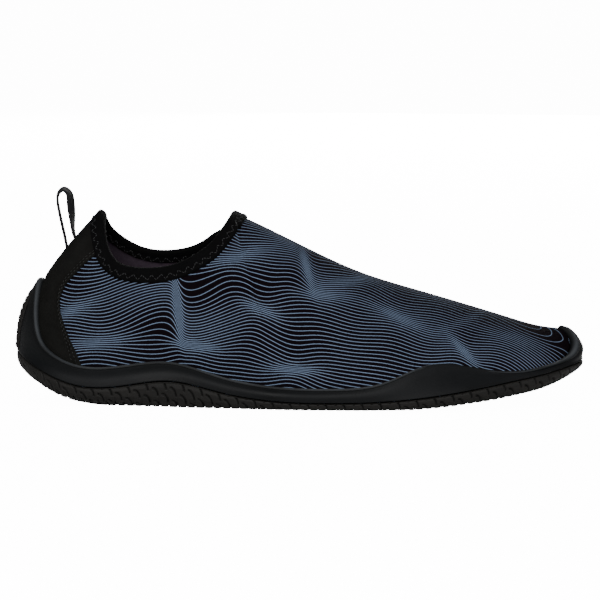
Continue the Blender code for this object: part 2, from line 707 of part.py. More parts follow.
def build_collar_binding(upper):
    """Folded band over the collar's edge, outside and inside."""
    net = BVHTree.FromPolygons([v.co for v in upper.data.vertices],
                               [tuple(p.vertices) for p in upper.data.polygons])
    rim, away, out = collar_frames()
    near = BAND_FIT
    far = BAND_FIT + BINDING_THICKNESS
    wall = UPPER_WALL

    def outside(distance, offset):
        place, normal = beside_wall(net, rim, away, out, distance, near)
        return place + normal * offset

    def inside(distance, offset):
        place, normal = beside_wall(net, rim, away, out, distance, -wall - near)
        return place + normal * offset

    def over(distance, offset):
        return rim + away * distance + out * offset

    rows = [outside(BINDING_DEPTH, near), outside(BINDING_DEPTH * 0.5, near), over(0, near),
            over(-near, -wall * 0.15), over(-near, -wall * 0.85), over(0, -wall - near),
            inside(BINDING_INSIDE * 0.5, near), inside(BINDING_INSIDE, near),
            inside(BINDING_INSIDE, far), inside(BINDING_INSIDE * 0.5, far),
            over(0, -wall - far), over(-far, -wall * 0.9), over(-far, -wall * 0.1),
            over(0, far), outside(BINDING_DEPTH * 0.5, far), outside(BINDING_DEPTH, far)]
    loft("collar_binding", np.stack(rows, axis=1))


def panel_top(w):
    """The t at the lower edge of the binding for columns near the heel."""
    t = np.linspace(1, 0.4, 121)
    result = []
    for place in w:
        column = np.full(len(t), place)
        points = skin(column, t)
        run = np.concatenate([[0], np.cumsum(np.linalg.norm(np.diff(points, axis=0), axis=1))])
        rim_step = rim_curve(place + 1e-3)[0] - rim_curve(place - 1e-3)[0]
        down = unit(points[3] - points[0])
        lean = math.sqrt(max(0.15, 1 - float(np.dot(unit(rim_step), down)) ** 2))
        result.append(np.interp((BINDING_DEPTH + 3 * FIT) / lean, run, t))
    return np.array(result)


def build_heel_panel():
    """Black overlay on the back of the heel, from the rand's lip up to the binding."""
    edge = np.array(PANEL_EDGE)
    row_shares = (0.0, 0.12, 0.28, 0.44, 0.6, 0.75, 0.88, 1.0)
    column_shares = np.concatenate([np.linspace(-1, 1, 17)])
    reach = np.linspace(0.0, stations[5], 160)
    low_t = at_height(reach, level("lip", reach) + RAND_LIP * 0.5 + 2 * FIT)
    high_t = panel_top(reach)
    ends = []
    for share in row_shares:
        t = low_t + (high_t - low_t) * share
        points = skin(reach, t)
        wanted = np.interp(points[:, 2], edge[:, 0] * BACK_HEIGHT, edge[:, 1] * LENGTH)
        past = np.nonzero(points[:, 0] >= wanted)[0]
        ends.append(reach[past[0]] if len(past) else reach[-1])
    sections = []
    for side in column_shares:
        w = np.array([side * end for end in ends])
        near = np.abs(w)
        t = (np.interp(near, reach, low_t) * (1 - np.array(row_shares))
             + np.interp(near, reach, high_t) * np.array(row_shares))
        inner = off_skin(w, t, 0 * w + CLOTH_FIT)
        outer = off_skin(w, t, 0 * w + CLOTH_FIT + PANEL_THICKNESS)
        sections.append(np.concatenate([inner, outer[::-1]]))
    loft("heel_panel", np.array(sections), round_ring=False)


def build_pull_loop():
    """Webbing loop whose two ends lie on the heel panel."""
    clear = CLOTH_FIT + PANEL_THICKNESS + CLOTH_FIT + LOOP_THICKNESS / 2
    heel = np.zeros(1)
    start_t = at_height(heel, np.array([BACK_HEIGHT * 0.785]))
    start = off_skin(heel, start_t, clear)[0]
    route = np.array([(start[0] - back * LOOP_RISE, 0.0, start[2] + up * LOOP_RISE)
                      for back, up in LOOP_ROUTE])
    end_t = at_height(heel, np.array([BACK_HEIGHT * 0.888]))
    end = off_skin(heel, end_t, clear)[0]
    below_t = at_height(heel, np.array([BACK_HEIGHT * 0.735]))
    below = off_skin(heel, below_t, clear)[0]
    route = np.concatenate([[below], route, [end]])
    knots = np.concatenate([[0], np.cumsum(np.linalg.norm(np.diff(route, axis=0), axis=1))])
    path = spline(knots, route, False)(np.linspace(0, knots[-1], 37))
    tangent = unit(np.gradient(path, axis=0))
    side = np.array((0.0, 1.0, 0.0))
    out = unit(np.cross(tangent, side))
    half = LOOP_THICKNESS / 2
    rows = []
    for across, offset in ((-0.5, -1), (0.5, -1), (0.5, 1), (-0.5, 1)):
        rows.append(path + side * across * LOOP_WIDTH + out * offset * half)
    loft("pull_loop", np.stack(rows, axis=1), round_ring=False, smooth_angle=60)


def build_insole():
    """Foam footbed on the outsole's bed, inside the foot of the upper."""
    w = ring_columns()
    bed = level("bed", w)
    rows = []
    for height in (FIT, INSOLE_THICKNESS * 0.75 + FIT, INSOLE_THICKNESS + FIT):
        t = at_height(w, np.maximum(bed + height, bed + FIT + 1e-6))
        rows.append(off_skin(w, t, 0 * w - UPPER_WALL - INSOLE_FIT))
    rows[0][:, 2] = bed + FIT
    rows[2] -= outward(w) * INSOLE_THICKNESS * 0.3
    loft("insole", np.stack(rows, axis=1), round_section=False)


def stand_at_origin():
    """Moves the pieces so that the middle of their box is over the origin, on the floor."""
    points = np.array([v.co for thing in shoe_parts.objects for v in thing.data.vertices])
    low = points.min(axis=0)
    high = points.max(axis=0)
    shift = Vector((-(low[0] + high[0]) / 2, -(low[1] + high[1]) / 2, -low[2]))
    for thing in shoe_parts.objects:
        for vertex in thing.data.vertices:
            vertex.co += shift


for old in list(bpy.data.objects):
    bpy.data.objects.remove(old, do_unlink=True)
shoe_parts = bpy.data.collections.new("water_shoe")
bpy.context.scene.collection.children.link(shoe_parts)

build_outsole()
build_heel_tread()
build_rand()
build_collar_binding(build_upper())
build_heel_panel()
build_pull_loop()
build_insole()
stand_at_origin()
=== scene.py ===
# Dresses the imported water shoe: printed cloth, bound collar, heel panel, rubber rand and tread.
import math

import bmesh
import bpy
import numpy as np
from mathutils import Matrix, Vector
from mathutils.bvhtree import BVHTree


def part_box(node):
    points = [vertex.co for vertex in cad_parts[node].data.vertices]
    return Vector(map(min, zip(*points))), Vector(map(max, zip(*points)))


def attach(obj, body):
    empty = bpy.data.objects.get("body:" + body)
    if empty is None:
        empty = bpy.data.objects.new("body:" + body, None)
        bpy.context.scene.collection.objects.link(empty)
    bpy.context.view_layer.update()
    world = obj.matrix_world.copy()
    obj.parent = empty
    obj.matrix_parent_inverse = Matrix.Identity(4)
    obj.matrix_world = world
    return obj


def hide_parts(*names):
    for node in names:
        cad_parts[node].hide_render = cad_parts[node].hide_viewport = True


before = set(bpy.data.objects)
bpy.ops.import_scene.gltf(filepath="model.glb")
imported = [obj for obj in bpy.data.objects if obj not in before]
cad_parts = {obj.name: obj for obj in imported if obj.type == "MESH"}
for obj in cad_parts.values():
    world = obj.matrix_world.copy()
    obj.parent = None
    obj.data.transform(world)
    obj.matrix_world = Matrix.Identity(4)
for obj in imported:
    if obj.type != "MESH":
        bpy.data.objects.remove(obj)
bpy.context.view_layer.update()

millimetre = 0.001

# Driving sizes of the shoe, the same as in the part's source, in metres
shoe = {
    "length": 0.280,  # heel to toe, over the rubber
    "width": 0.100,  # across the ball, over the rubber
    "backHeight": 0.0933,  # floor to the peak of the collar behind the heel
    "sideHeight": 0.0252,  # floor to the top of the outsole's rim behind the heel
    "cupHeight": 0.0600,  # floor to the top of the rand behind the heel
    "upperWall": 0.0020,
    "randLip": 0.0019,  # how far the rand's top stands off the upper
    "randShelf": 0.0043,  # from the outline of the sole in to the upper
    "fit": 0.0003,  # gap for glue
    "groove": 0.0005,  # gap between outsole and rand
    "instepSlope": 0.43,  # fall of the vamp's ridge at the collar's front
    "instepReach": 0.64,  # fullness of the vamp's arch there
    "collarRow": 9,  # the station where the collar's front meets the ridge
    "leanFrom": 0.72,  # share of the collar from which the wall leans as the ridge does
    "ridgeTurn": 0.96,  # share of the wall from which its face turns to the ridge's
    "footShare": 0.75,  # share of the rand over which it comes in to the upper
}

# Edge of the sole, one row for each station from the heel centre to the toe centre.
# along is a share of length and across of half width. edge, bed and groove are shares
# of sideHeight and lip of cupHeight.
edgeColumns = ("along", "across", "edge", "bed", "groove", "lip")
outerEdge = (
    (0.0046, 0.000, 0.690, 0.855, 1.000, 1.050),
    (0.0093, 0.160, 0.660, 0.815, 0.976, 0.910),
    (0.0214, 0.300, 0.565, 0.695, 0.880, 0.650),
    (0.0536, 0.480, 0.380, 0.480, 0.680, 0.440),
    (0.1071, 0.620, 0.198, 0.350, 0.460, 0.340),
    (0.1857, 0.686, 0.107, 0.317, 0.440, 0.341),
    (0.2750, 0.700, 0.036, 0.294, 0.544, 0.373),
    (0.3679, 0.746, 0.020, 0.246, 0.325, 0.253),
    (0.4143, 0.790, 0.016, 0.190, 0.238, 0.208),
    (0.4643, 0.840, 0.016, 0.146, 0.183, 0.181),
    (0.5607, 0.936, 0.028, 0.138, 0.173, 0.175),
    (0.6500, 0.990, 0.044, 0.138, 0.218, 0.232),
    (0.7321, 0.980, 0.091, 0.178, 0.310, 0.366),
    (0.8036, 0.906, 0.179, 0.274, 0.433, 0.338),
    (0.8750, 0.746, 0.274, 0.405, 0.563, 0.298),
    (0.9286, 0.540, 0.369, 0.516, 0.651, 0.318),
    (0.9679, 0.280, 0.492, 0.603, 0.726, 0.352),
    (0.9911, 0.040, 0.587, 0.683, 0.762, 0.412),
    (1.0000, -0.160, 0.627, 0.714, 0.778, 0.528),
)
innerEdge = (
    (0.0046, 0.000, 0.690, 0.855, 1.000, 1.050),
    (0.0093, 0.160, 0.660, 0.815, 0.976, 0.910),
    (0.0214, 0.300, 0.565, 0.695, 0.880, 0.650),
    (0.0536, 0.490, 0.380, 0.480, 0.680, 0.440),
    (0.1071, 0.626, 0.198, 0.350, 0.470, 0.345),
    (0.1857, 0.674, 0.107, 0.317, 0.460, 0.350),
    (0.2750, 0.644, 0.048, 0.294, 0.563, 0.385),
    (0.3679, 0.590, 0.060, 0.250, 0.456, 0.300),
    (0.4143, 0.588, 0.048, 0.200, 0.357, 0.258),
    (0.4643, 0.620, 0.032, 0.155, 0.258, 0.217),
    (0.5607, 0.744, 0.028, 0.138, 0.194, 0.192),
    (0.6500, 0.890, 0.044, 0.138, 0.222, 0.217),
    (0.7321, 1.000, 0.091, 0.178, 0.310, 0.317),
    (0.8036, 1.014, 0.171, 0.270, 0.421, 0.383),
    (0.8750, 0.924, 0.262, 0.396, 0.548, 0.350),
    (0.9286, 0.770, 0.365, 0.512, 0.643, 0.385),
    (0.9679, 0.570, 0.488, 0.603, 0.722, 0.482),
    (0.9911, 0.370, 0.585, 0.683, 0.762, 0.588),
    (1.0000, 0.160, 0.627, 0.714, 0.778, 0.528),
)

# Top edge of the upper at the same stations: the collar's rim, then the vamp's ridge.
# along is a share of length, outer and inner of half width, the heights of backHeight.
topColumns = ("along", "outer", "outerHeight", "inner", "innerHeight")
topEdgeRows = (
    (0.1536, 0.000, 1.000, 0.000, 1.000),
    (0.1539, 0.120, 0.976, 0.120, 0.981),
    (0.1564, 0.226, 0.912, 0.226, 0.952),
    (0.1643, 0.320, 0.818, 0.320, 0.905),
    (0.1821, 0.390, 0.746, 0.394, 0.850),
    (0.2232, 0.446, 0.716, 0.456, 0.780),
    (0.2821, 0.466, 0.734, 0.474, 0.766),
    (0.3464, 0.434, 0.841, 0.442, 0.845),
    (0.3757, 0.312, 0.925, 0.324, 0.938),
    (0.3893, -0.010, 0.990, 0.010, 0.990),
    (0.5000, -0.060, 0.829, 0.060, 0.829),
    (0.6071, -0.140, 0.677, 0.140, 0.677),
    (0.7071, -0.200, 0.579, 0.200, 0.579),
    (0.7893, -0.220, 0.505, 0.220, 0.505),
    (0.8607, -0.210, 0.440, 0.210, 0.440),
    (0.9036, -0.190, 0.402, 0.190, 0.402),
    (0.9304, -0.180, 0.386, 0.180, 0.386),
    (0.9446, -0.172, 0.381, 0.172, 0.381),
    (0.9518, -0.166, 0.379, 0.166, 0.379),
)

# Fullness of the upper's wall at the same stations.
# rise and drop are shares of backHeight, swell and the reaches of half width.
wallColumns = ("rise", "swell", "outerReach", "innerReach", "drop")
wallRows = (
    (0.257, 0.088, 0.460, 0.460, 0.250),
    (0.257, 0.088, 0.440, 0.440, 0.247),
    (0.257, 0.084, 0.340, 0.340, 0.257),
    (0.257, 0.080, 0.200, 0.200, 0.268),
    (0.257, 0.070, 0.120, 0.120, 0.279),
    (0.257, 0.064, 0.080, 0.080, 0.279),
    (0.257, 0.060, 0.090, 0.090, 0.279),
    (0.257, 0.052, 0.100, 0.100, 0.214),
    (0.257, 0.044, 0.200, 0.200, 0.120),
    (0.257, 0.040, 0.500, 0.470, 0.000),
    (0.236, 0.032, 0.500, 0.440, 0.000),
    (0.214, 0.028, 0.500, 0.420, 0.000),
    (0.193, 0.024, 0.500, 0.420, 0.000),
    (0.171, 0.024, 0.480, 0.420, 0.000),
    (0.139, 0.024, 0.400, 0.360, 0.000),
    (0.118, 0.024, 0.300, 0.290, 0.000),
    (0.102, 0.024, 0.200, 0.200, 0.000),
    (0.091, 0.024, 0.140, 0.140, 0.000),
    (0.086, 0.024, 0.110, 0.110, 0.000),
)

# Underside along the middle: share of length, share of sideHeight
groundLine = (
    (0.0000, 1.060), (0.0089, 0.870), (0.0179, 0.670), (0.0314, 0.500), (0.0536, 0.321),
    (0.0821, 0.163), (0.1107, 0.071), (0.1429, 0.020), (0.1679, 0.000), (0.2750, 0.000),
    (0.3600, 0.028), (0.4300, 0.000), (0.7000, 0.000), (0.7679, 0.063), (0.8393, 0.159),
    (0.9036, 0.278), (0.9464, 0.397), (0.9821, 0.540), (1.0000, 0.650),
)


def unit(vectors):
    length = np.linalg.norm(vectors, axis=-1, keepdims=True)
    return vectors / np.maximum(length, 1e-12)


def squareTo(vectors, normals):
    # the directions of vectors once they are square to normals
    return unit(vectors - normals * np.sum(vectors * normals, axis=1, keepdims=True))


def walked(points, axis=0):
    # distance walked from the first of the points, along one axis of their grid
    steps = np.linalg.norm(np.diff(points, axis=axis), axis=-1)
    return np.concatenate([0 * steps.take([0], axis), np.cumsum(steps, axis)], axis)


def smooth(share):
    return share ** 2 * (3 - 2 * share)


def halve(low, high, isLow):
    # where between low and high isLow stops holding
    for _ in range(30):
        middle = (low + high) / 2
        below = isLow(middle)
        low = np.where(below, middle, low)
        high = np.where(below, high, middle)
    return (low + high) / 2


def tableColumns(table, columns, sizes):
    # the columns that sizes names, each times its size
    return np.array([[row[columns.index(name)] * size for name, size in sizes.items()]
                     for row in table])


def splineThrough(knots, values, closed):
    # smooth curve through values at knots; a closed one repeats after its last knot
    knots = np.asarray(knots, float)
    values = np.asarray(values, float)
    step = np.diff(knots)
    slope = np.diff(values, axis=0) / step[:, None]
    count = len(knots)
    matrix = np.zeros((count, count))
    right = np.zeros_like(values)
    for i in range(1, count - 1):
        matrix[i, i - 1:i + 2] = step[i - 1], 2 * (step[i - 1] + step[i]), step[i]
        right[i] = 6 * (slope[i] - slope[i - 1])
    if closed:
        matrix[0, 0] = 1
        matrix[0, -1] = -1
        matrix[-1, 0] = 2 * (step[-1] + step[0])
        matrix[-1, 1] += step[0]
        matrix[-1, -2] += step[-1]
        right[-1] = 6 * (slope[0] - slope[-1])
    else:
        matrix[0, 0] = matrix[-1, -1] = 1
    bend = np.linalg.solve(matrix, right)
    first = knots[0]
    period = knots[-1] - knots[0]

    def curve(where):
        where = np.atleast_1d(np.asarray(where, float))
        if closed:
            where = first + np.mod(where - first, period)
        i = np.clip(np.searchsorted(knots, where, side="right") - 1, 0, count - 2)
        h = step[i][:, None]
        a = (knots[i + 1] - where)[:, None] / h
        b = 1 - a
        return (a * values[i] + b * values[i + 1]
                + ((a ** 3 - a) * bend[i] + (b ** 3 - b) * bend[i + 1]) * h ** 2 / 6)

    return curve


def aroundLoop(outer, inner):
    return np.concatenate([outer, inner[-2::-1]], axis=0)


# Place round the shoe, called w: 0 at the heel centre, 1 at the toe centre on the
# outer side, and on to 2 at the heel again on the inner side
halfWidth = shoe["width"] / 2
outerPlan = tableColumns(outerEdge, edgeColumns, {"along": shoe["length"], "across": -halfWidth})
innerPlan = tableColumns(innerEdge, edgeColumns, {"along": shoe["length"], "across": halfWidth})
planSteps = (np.linalg.norm(np.diff(outerPlan, axis=0), axis=1)
             + np.linalg.norm(np.diff(innerPlan, axis=0), axis=1)) / 2
sideLength = planSteps.sum()
stations = np.concatenate([[0.0], np.cumsum(planSteps)]) / sideLength
loopKnots = np.concatenate([stations, 2 - stations[-2::-1]])
collarAt = stations[shoe["collarRow"]]

outlineCurve = splineThrough(loopKnots, aroundLoop(outerPlan, innerPlan), True)
heightCurves = {}
for levelName, levelSize in (("edge", "sideHeight"), ("bed", "sideHeight"),
                             ("groove", "sideHeight"), ("lip", "cupHeight")):
    heightCurves[levelName] = splineThrough(loopKnots, aroundLoop(*(
        tableColumns(table, edgeColumns, {levelName: shoe[levelSize]})
        for table in (outerEdge, innerEdge))), True)


def level(name, w):
    return heightCurves[name](w)[:, 0]


def outward(w):
    h = 1e-4
    along = outlineCurve(w + h) - outlineCurve(w - h)
    return unit(np.stack([along[:, 1], -along[:, 0], np.zeros(len(along))], axis=1))


def upBy(height):
    return np.reshape(height, (-1, 1)) * np.array((0.0, 0.0, 1.0))


def outline(w, inset, height):
    flat = outlineCurve(w)
    point = np.stack([flat[:, 0], flat[:, 1], np.zeros(len(flat))], axis=1)
    return point - outward(w) * np.reshape(inset, (-1, 1)) + upBy(height)


def topPoints(side, sign):
    return tableColumns(topEdgeRows, topColumns, {
        "along": shoe["length"], side: sign * halfWidth, side + "Height": shoe["backHeight"]})


def wallSide(reachName):
    return tableColumns(wallRows, wallColumns, {
        "rise": shoe["backHeight"], "swell": halfWidth, reachName: halfWidth,
        "drop": shoe["backHeight"]})


outerTop, innerTop = topPoints("outer", -1), topPoints("inner", 1)
rimRows = slice(0, shoe["collarRow"] + 1)
rimCurve = splineThrough(
    np.concatenate([stations[rimRows], 2 * collarAt - stations[rimRows][-2::-1]]),
    aroundLoop(outerTop[rimRows], innerTop[rimRows]), True)
ridgeCurve = splineThrough(stations[shoe["collarRow"]:], outerTop[shoe["collarRow"]:], False)
wallCurve = splineThrough(
    loopKnots, aroundLoop(wallSide("outerReach"), wallSide("innerReach")), True)


def ridgeNormal(u):
    h = 1e-3
    u = np.clip(u, collarAt, 1 - h)
    along = ridgeCurve(u + h) - ridgeCurve(np.maximum(u - h, collarAt))
    along[:, 1] = 0
    side = np.tile((0.0, -1.0, 0.0), (len(along), 1))
    return unit(np.cross(side, along))


def sidePlace(w):
    # share of the way from heel to toe, on either side
    return np.where(w <= 1, w, 2 - w)


def topEdge(w):
    # point of the top edge at w and the direction in which the wall leaves it
    w = np.mod(w, 2)
    side = np.where(w <= 1, 1.0, -1.0)
    u = sidePlace(w)
    point = np.where((u < collarAt)[:, None], rimCurve(np.where(w <= 1, u, 2 * collarAt - u)),
                     ridgeCurve(np.maximum(u, collarAt)))
    leanFrom = shoe["leanFrom"] * collarAt
    lean = np.clip((u - leanFrom) / (collarAt - leanFrom), 0, 1)[:, None]
    normal = unit(upBy(1.0) * (1 - lean) + ridgeNormal(u) * lean)
    return point, squareTo(outward(w), normal), normal, u, side


def bendThrough(points, t):
    s = 1 - t
    foot, low, high, top = points
    return s ** 3 * foot + 3 * s ** 2 * t * low + 3 * s * t ** 2 * high + t ** 3 * top


def instepArch(w, foot, low, leanOut, u):
    # the vamp's arch carried back over the front of the collar, up to its middle
    rim = rimCurve(np.where(w <= 1, np.minimum(u, collarAt),
                            2 * collarAt - np.minimum(u, collarAt)))
    front = ridgeCurve(collarAt)
    top = np.repeat(front, len(w), axis=0)
    top[:, 0] = rim[:, 0]
    top[:, 2] += shoe["instepSlope"] * (front[0, 0] - rim[:, 0])
    high = top + leanOut * shoe["instepReach"] * shoe["width"] / 2
    return (foot, low, high, top), rim[:, 1]


def wallFoot(w):
    foot = outline(w, shoe["randShelf"] + shoe["fit"], level("bed", w) + shoe["fit"])
    top, leanOut, _, u, side = topEdge(w)
    wall = wallCurve(w)
    low = foot + upBy(wall[:, 0]) + outward(w) * wall[:, 1:2]
    high = top + leanOut * wall[:, 2:3] - upBy(wall[:, 3])
    return foot, low, leanOut, high, top, u, side


def rimShares(outer):
    # how far up the arch the collar's rim lies on one side
    u = np.linspace(stations[shoe["collarRow"] - 2], collarAt, 160)
    w = u if outer else 2 - u
    foot, low, leanOut = wallFoot(w)[:3]
    arch, wanted = instepArch(w, foot, low, leanOut, u)
    middle = arch[3][:, 1:2]
    reach = np.abs(wanted[:, None] - middle)
    found = halve(np.full(reach.shape, 0.45), np.ones(reach.shape),
                  lambda share: np.abs(bendThrough(arch, share)[:, 1:2] - middle) > reach)
    return u, found[:, 0]


outerRim, innerRim = rimShares(True), rimShares(False)


def skin(w, t):
    # outer face of the upper: w runs round the shoe, t from its foot up to its top edge
    w = np.mod(np.atleast_1d(np.asarray(w, float)), 2)
    t = np.broadcast_to(np.asarray(t, float), w.shape)[:, None]
    foot, low, leanOut, high, top, u, side = wallFoot(w)
    points = bendThrough((foot, low, high, top), t)
    start, full = stations[shoe["collarRow"] - 2], stations[shoe["collarRow"] - 1]
    blend = np.clip((u - start) / (full - start), 0, 1) * (u < collarAt)
    blend = smooth(blend)[:, None]
    arch = instepArch(w, foot, low, leanOut, u)[0]
    share = np.where(side > 0, np.interp(u, *outerRim), np.interp(u, *innerRim))[:, None]
    return points * (1 - blend) + bendThrough(arch, t * share) * blend


def skinNormal(w, t):
    w = np.atleast_1d(np.asarray(w, float))
    t = np.broadcast_to(np.asarray(t, float), w.shape)
    h = 1e-4
    along = skin(w + h, t) - skin(w - h, t)
    up = skin(w, np.minimum(t + h, 1)) - skin(w, np.maximum(t - h, 0))
    normal = unit(np.cross(along, up))
    plane, u = topEdge(w)[2:4]
    onRidge = u >= collarAt - 1e-6
    weight = (onRidge * np.clip((t - shoe["ridgeTurn"]) / (1 - shoe["ridgeTurn"]), 0, 1))[:, None]
    return unit(normal * (1 - weight) + plane * weight)


def offSkin(w, t, offset):
    return skin(w, t) + skinNormal(w, t) * np.reshape(offset, (-1, 1))


def atHeight(w, height):
    # the t at which the upper's outer face reaches a height
    return halve(np.zeros(len(w)), np.ones(len(w)), lambda t: skin(w, t)[:, 2] < height)


def randOuter(w, share):
    # outer face of the rand, from the groove (share 0) to just under its lip (share 1)
    base = level("groove", w) + shoe["groove"] / 2
    height = base + share * (level("lip", w) - base)
    foot = outline(w, 0.0, height)
    lip = offSkin(w, atHeight(w, height), shoe["randLip"] + shoe["fit"])
    blend = np.reshape((1 - np.clip(share / shoe["footShare"], 0, 1)) ** 1.5, (-1, 1))
    return lip * (1 - blend) + foot * blend


def groundHeight(along):
    table = np.array(groundLine)
    return np.interp(along, table[:, 0] * shoe["length"], table[:, 1] * shoe["sideHeight"])


# Where the shoe's own frame, with its heel at x 0 and y 0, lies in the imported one
loopLow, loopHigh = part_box("pull_loop")
shift = np.array((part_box("outsole")[1].x - shoe["length"], (loopLow.y + loopHigh.y) / 2, 0.0))


def gridPoints(columns, rows, where):
    # points of a grid of places, from a function of flat arrays
    c, r = np.meshgrid(columns, rows, indexing="ij")
    return where(c.ravel(), r.ravel()).reshape(len(columns), len(rows), -1)


def gridMesh(points, flat, marks=None):
    # a bmesh grid whose vertices move to points, an array of columns by rows by three
    columns, rows = points.shape[:2]
    bm = bmesh.new()
    flatLayer = bm.loops.layers.uv.new("cloth")
    layers = {mark: bm.verts.layers.float.new(mark) for mark in marks or {}}
    made = bmesh.ops.create_grid(bm, x_segments=columns - 1, y_segments=rows - 1, size=1)
    places = {vert: (round((vert.co.x + 1) / 2 * (columns - 1)),
                     round((vert.co.y + 1) / 2 * (rows - 1))) for vert in made["verts"]}
    for face in bm.faces:
        for loop in face.loops:
            loop[flatLayer].uv = flat[places[loop.vert]]
    for vert, place in places.items():
        vert.co = points[place] + shift
        for mark, layer in layers.items():
            vert[layer] = marks[mark][place]
    bmesh.ops.remove_doubles(bm, verts=made["verts"], dist=0.00001)
    return bm


def flatSizes(points):
    # distances along the columns and the rows of a grid, in millimetres
    rows = points.shape[1]
    middle = walked(points)[:, rows // 2, None]
    return np.stack([np.repeat(middle, rows, axis=1), walked(points, 1)], axis=2) / millimetre


def addObject(name, data):
    made = bpy.data.objects.new(name, data)
    bpy.context.scene.collection.objects.link(made)
    return made


def finishPiece(name, bm, lookNames, standsFor, slotName, closed=False, sharpAngle=None):
    # an object on the root body, in place of the solids that standsFor names
    if closed:
        bmesh.ops.recalc_face_normals(bm, faces=bm.faces)
    mesh = bpy.data.meshes.new(name)
    bm.to_mesh(mesh)
    bm.free()
    mesh.shade_smooth()
    if sharpAngle:
        mesh.set_sharp_from_angle(angle=math.radians(sharpAngle))
    for lookName in lookNames:
        mesh.materials.append(looks[lookName])
    piece = addObject(name, mesh)
    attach(piece, "root")
    if standsFor:
        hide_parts(*standsFor)
    print(name, len(mesh.polygons), "faces")
    return piece


def gridPiece(name, points, lookName, standsFor, slotName, marks=None, **finish):
    bm = gridMesh(points, flatSizes(points), marks)
    return finishPiece(name, bm, [lookName], [standsFor], slotName, **finish)


def thicken(piece, thickness, innerMaterial=0):
    # a wall that goes in from the modelled face
    wall = piece.modifiers.new("wall", "SOLIDIFY")
    wall.thickness = thickness
    wall.offset = -1
    wall.use_even_offset = False
    wall.material_offset = innerMaterial
    wall.material_offset_rim = innerMaterial


def onGrid(points, column, row):
    # points and normals on a grid surface at fractional columns and rows
    count, height = points.shape[:2]

    def at(c, r):
        c = np.clip(c, 0, count - 1.001)
        r = np.clip(r, 0, height - 1.001)
        i, j = c.astype(int), r.astype(int)
        a, b = (c - i)[:, None], (r - j)[:, None]
        return ((points[i, j] * (1 - a) + points[i + 1, j] * a) * (1 - b)
                + (points[i, j + 1] * (1 - a) + points[i + 1, j + 1] * a) * b)

    along = at(column + 0.5, row) - at(column - 0.5, row)
    up = at(column, row + 0.5) - at(column, row - 0.5)
    return at(column, row), unit(np.cross(along, up))


def addStitches(bm, places, normals, directions, size):
    # small rounded stitches, each an icosphere stretched along its seam
    scale = Matrix.Diagonal((size[0] / 2, size[1] / 2, size[2] / 2, 1))
    for place, normal, direction in zip(places, normals, directions):
        along = Vector(direction)
        up = Vector(normal)
        turn = Matrix((along, up.cross(along), up)).transposed().to_4x4()
        move = Matrix.Translation(Vector(place + shift))
        bmesh.ops.create_icosphere(bm, subdivisions=1, radius=1, matrix=move @ turn @ scale)


def feed(tree, socket, value):
    # links a socket to another one, or gives it a number or a colour
    if isinstance(value, bpy.types.NodeSocket):
        tree.links.new(value, socket)
    else:
        socket.default_value = (*value, 1) if socket.type == "RGBA" else value


def newNode(tree, kind, values, **settings):
    node = tree.nodes.new(kind)
    for key, value in settings.items():
        setattr(node, key, value)
    for key, value in values.items():
        feed(tree, node.inputs[key], value)
    return node


def calculate(tree, operation, *values):
    return newNode(tree, "ShaderNodeMath", dict(enumerate(values)), operation=operation).outputs[0]


def mapRange(tree, value, toRange=(0.0, 1.0), fromRange=(0.0, 1.0), **settings):
    return newNode(tree, "ShaderNodeMapRange", {
        "Value": value, "From Min": fromRange[0], "From Max": fromRange[1],
        "To Min": toRange[0], "To Max": toRange[1]}, **settings).outputs["Result"]


def noise(tree, vector, scale, detail):
    return newNode(tree, "ShaderNodeTexNoise",
                   {"Vector": vector, "Scale": scale, "Detail": detail}).outputs["Fac"]


def mixColors(tree, amount, first, second):
    return newNode(tree, "ShaderNodeMix", {0: amount, 6: first, 7: second},
                   data_type="RGBA").outputs[2]


def newGroup(name, inputs, outputs):
    # a shader node group with named sockets; an input without a value is a vector
    group = bpy.data.node_groups.new(name, "ShaderNodeTree")
    for socketName, value in inputs.items():
        kind = "NodeSocketVector" if value is None else "NodeSocketFloat"
        socket = group.interface.new_socket(socketName, in_out="INPUT", socket_type=kind)
        if value is not None:
            socket.default_value = value
    for socketName in outputs:
        group.interface.new_socket(socketName, in_out="OUTPUT", socket_type="NodeSocketFloat")
    given = group.nodes.new("NodeGroupInput").outputs
    return group, given, group.nodes.new("NodeGroupOutput").inputs


def scaleVector(tree, vector, scale):
    return newNode(tree, "ShaderNodeVectorMath", {0: vector, "Scale": scale},
                   operation="SCALE").outputs[0]


def wave(tree, value, rate=2 * math.pi):
    return calculate(tree, "SINE", calculate(tree, "MULTIPLY", value, rate))


def makeKnit():
    # rows of small interlocked loops with uneven tension, as on stretch cloth
    group, given, result = newGroup(
        "knit", {"Vector": None, "Loops per mm": 2.0, "Unevenness": 0.4}, ("Height", "Shade"))
    scaled = scaleVector(group, given["Vector"], given["Loops per mm"])
    parts = newNode(group, "ShaderNodeSeparateXYZ", {0: scaled}).outputs
    column = calculate(group, "ABSOLUTE", wave(group, parts[0]))
    row = calculate(group, "SINE", calculate(
        group, "ADD", calculate(group, "MULTIPLY", parts[1], 2 * math.pi),
        calculate(group, "MULTIPLY", column, 1.6)))
    loops = calculate(group, "MULTIPLY_ADD", column, 0.5,
                      calculate(group, "MULTIPLY", row, 0.25))
    shade = noise(group, scaled, 0.7, 3.0)
    uneven = calculate(group, "MULTIPLY", shade, given["Unevenness"])
    feed(group, result["Height"], calculate(group, "ADD", loops, uneven))
    feed(group, result["Shade"], shade)
    return group


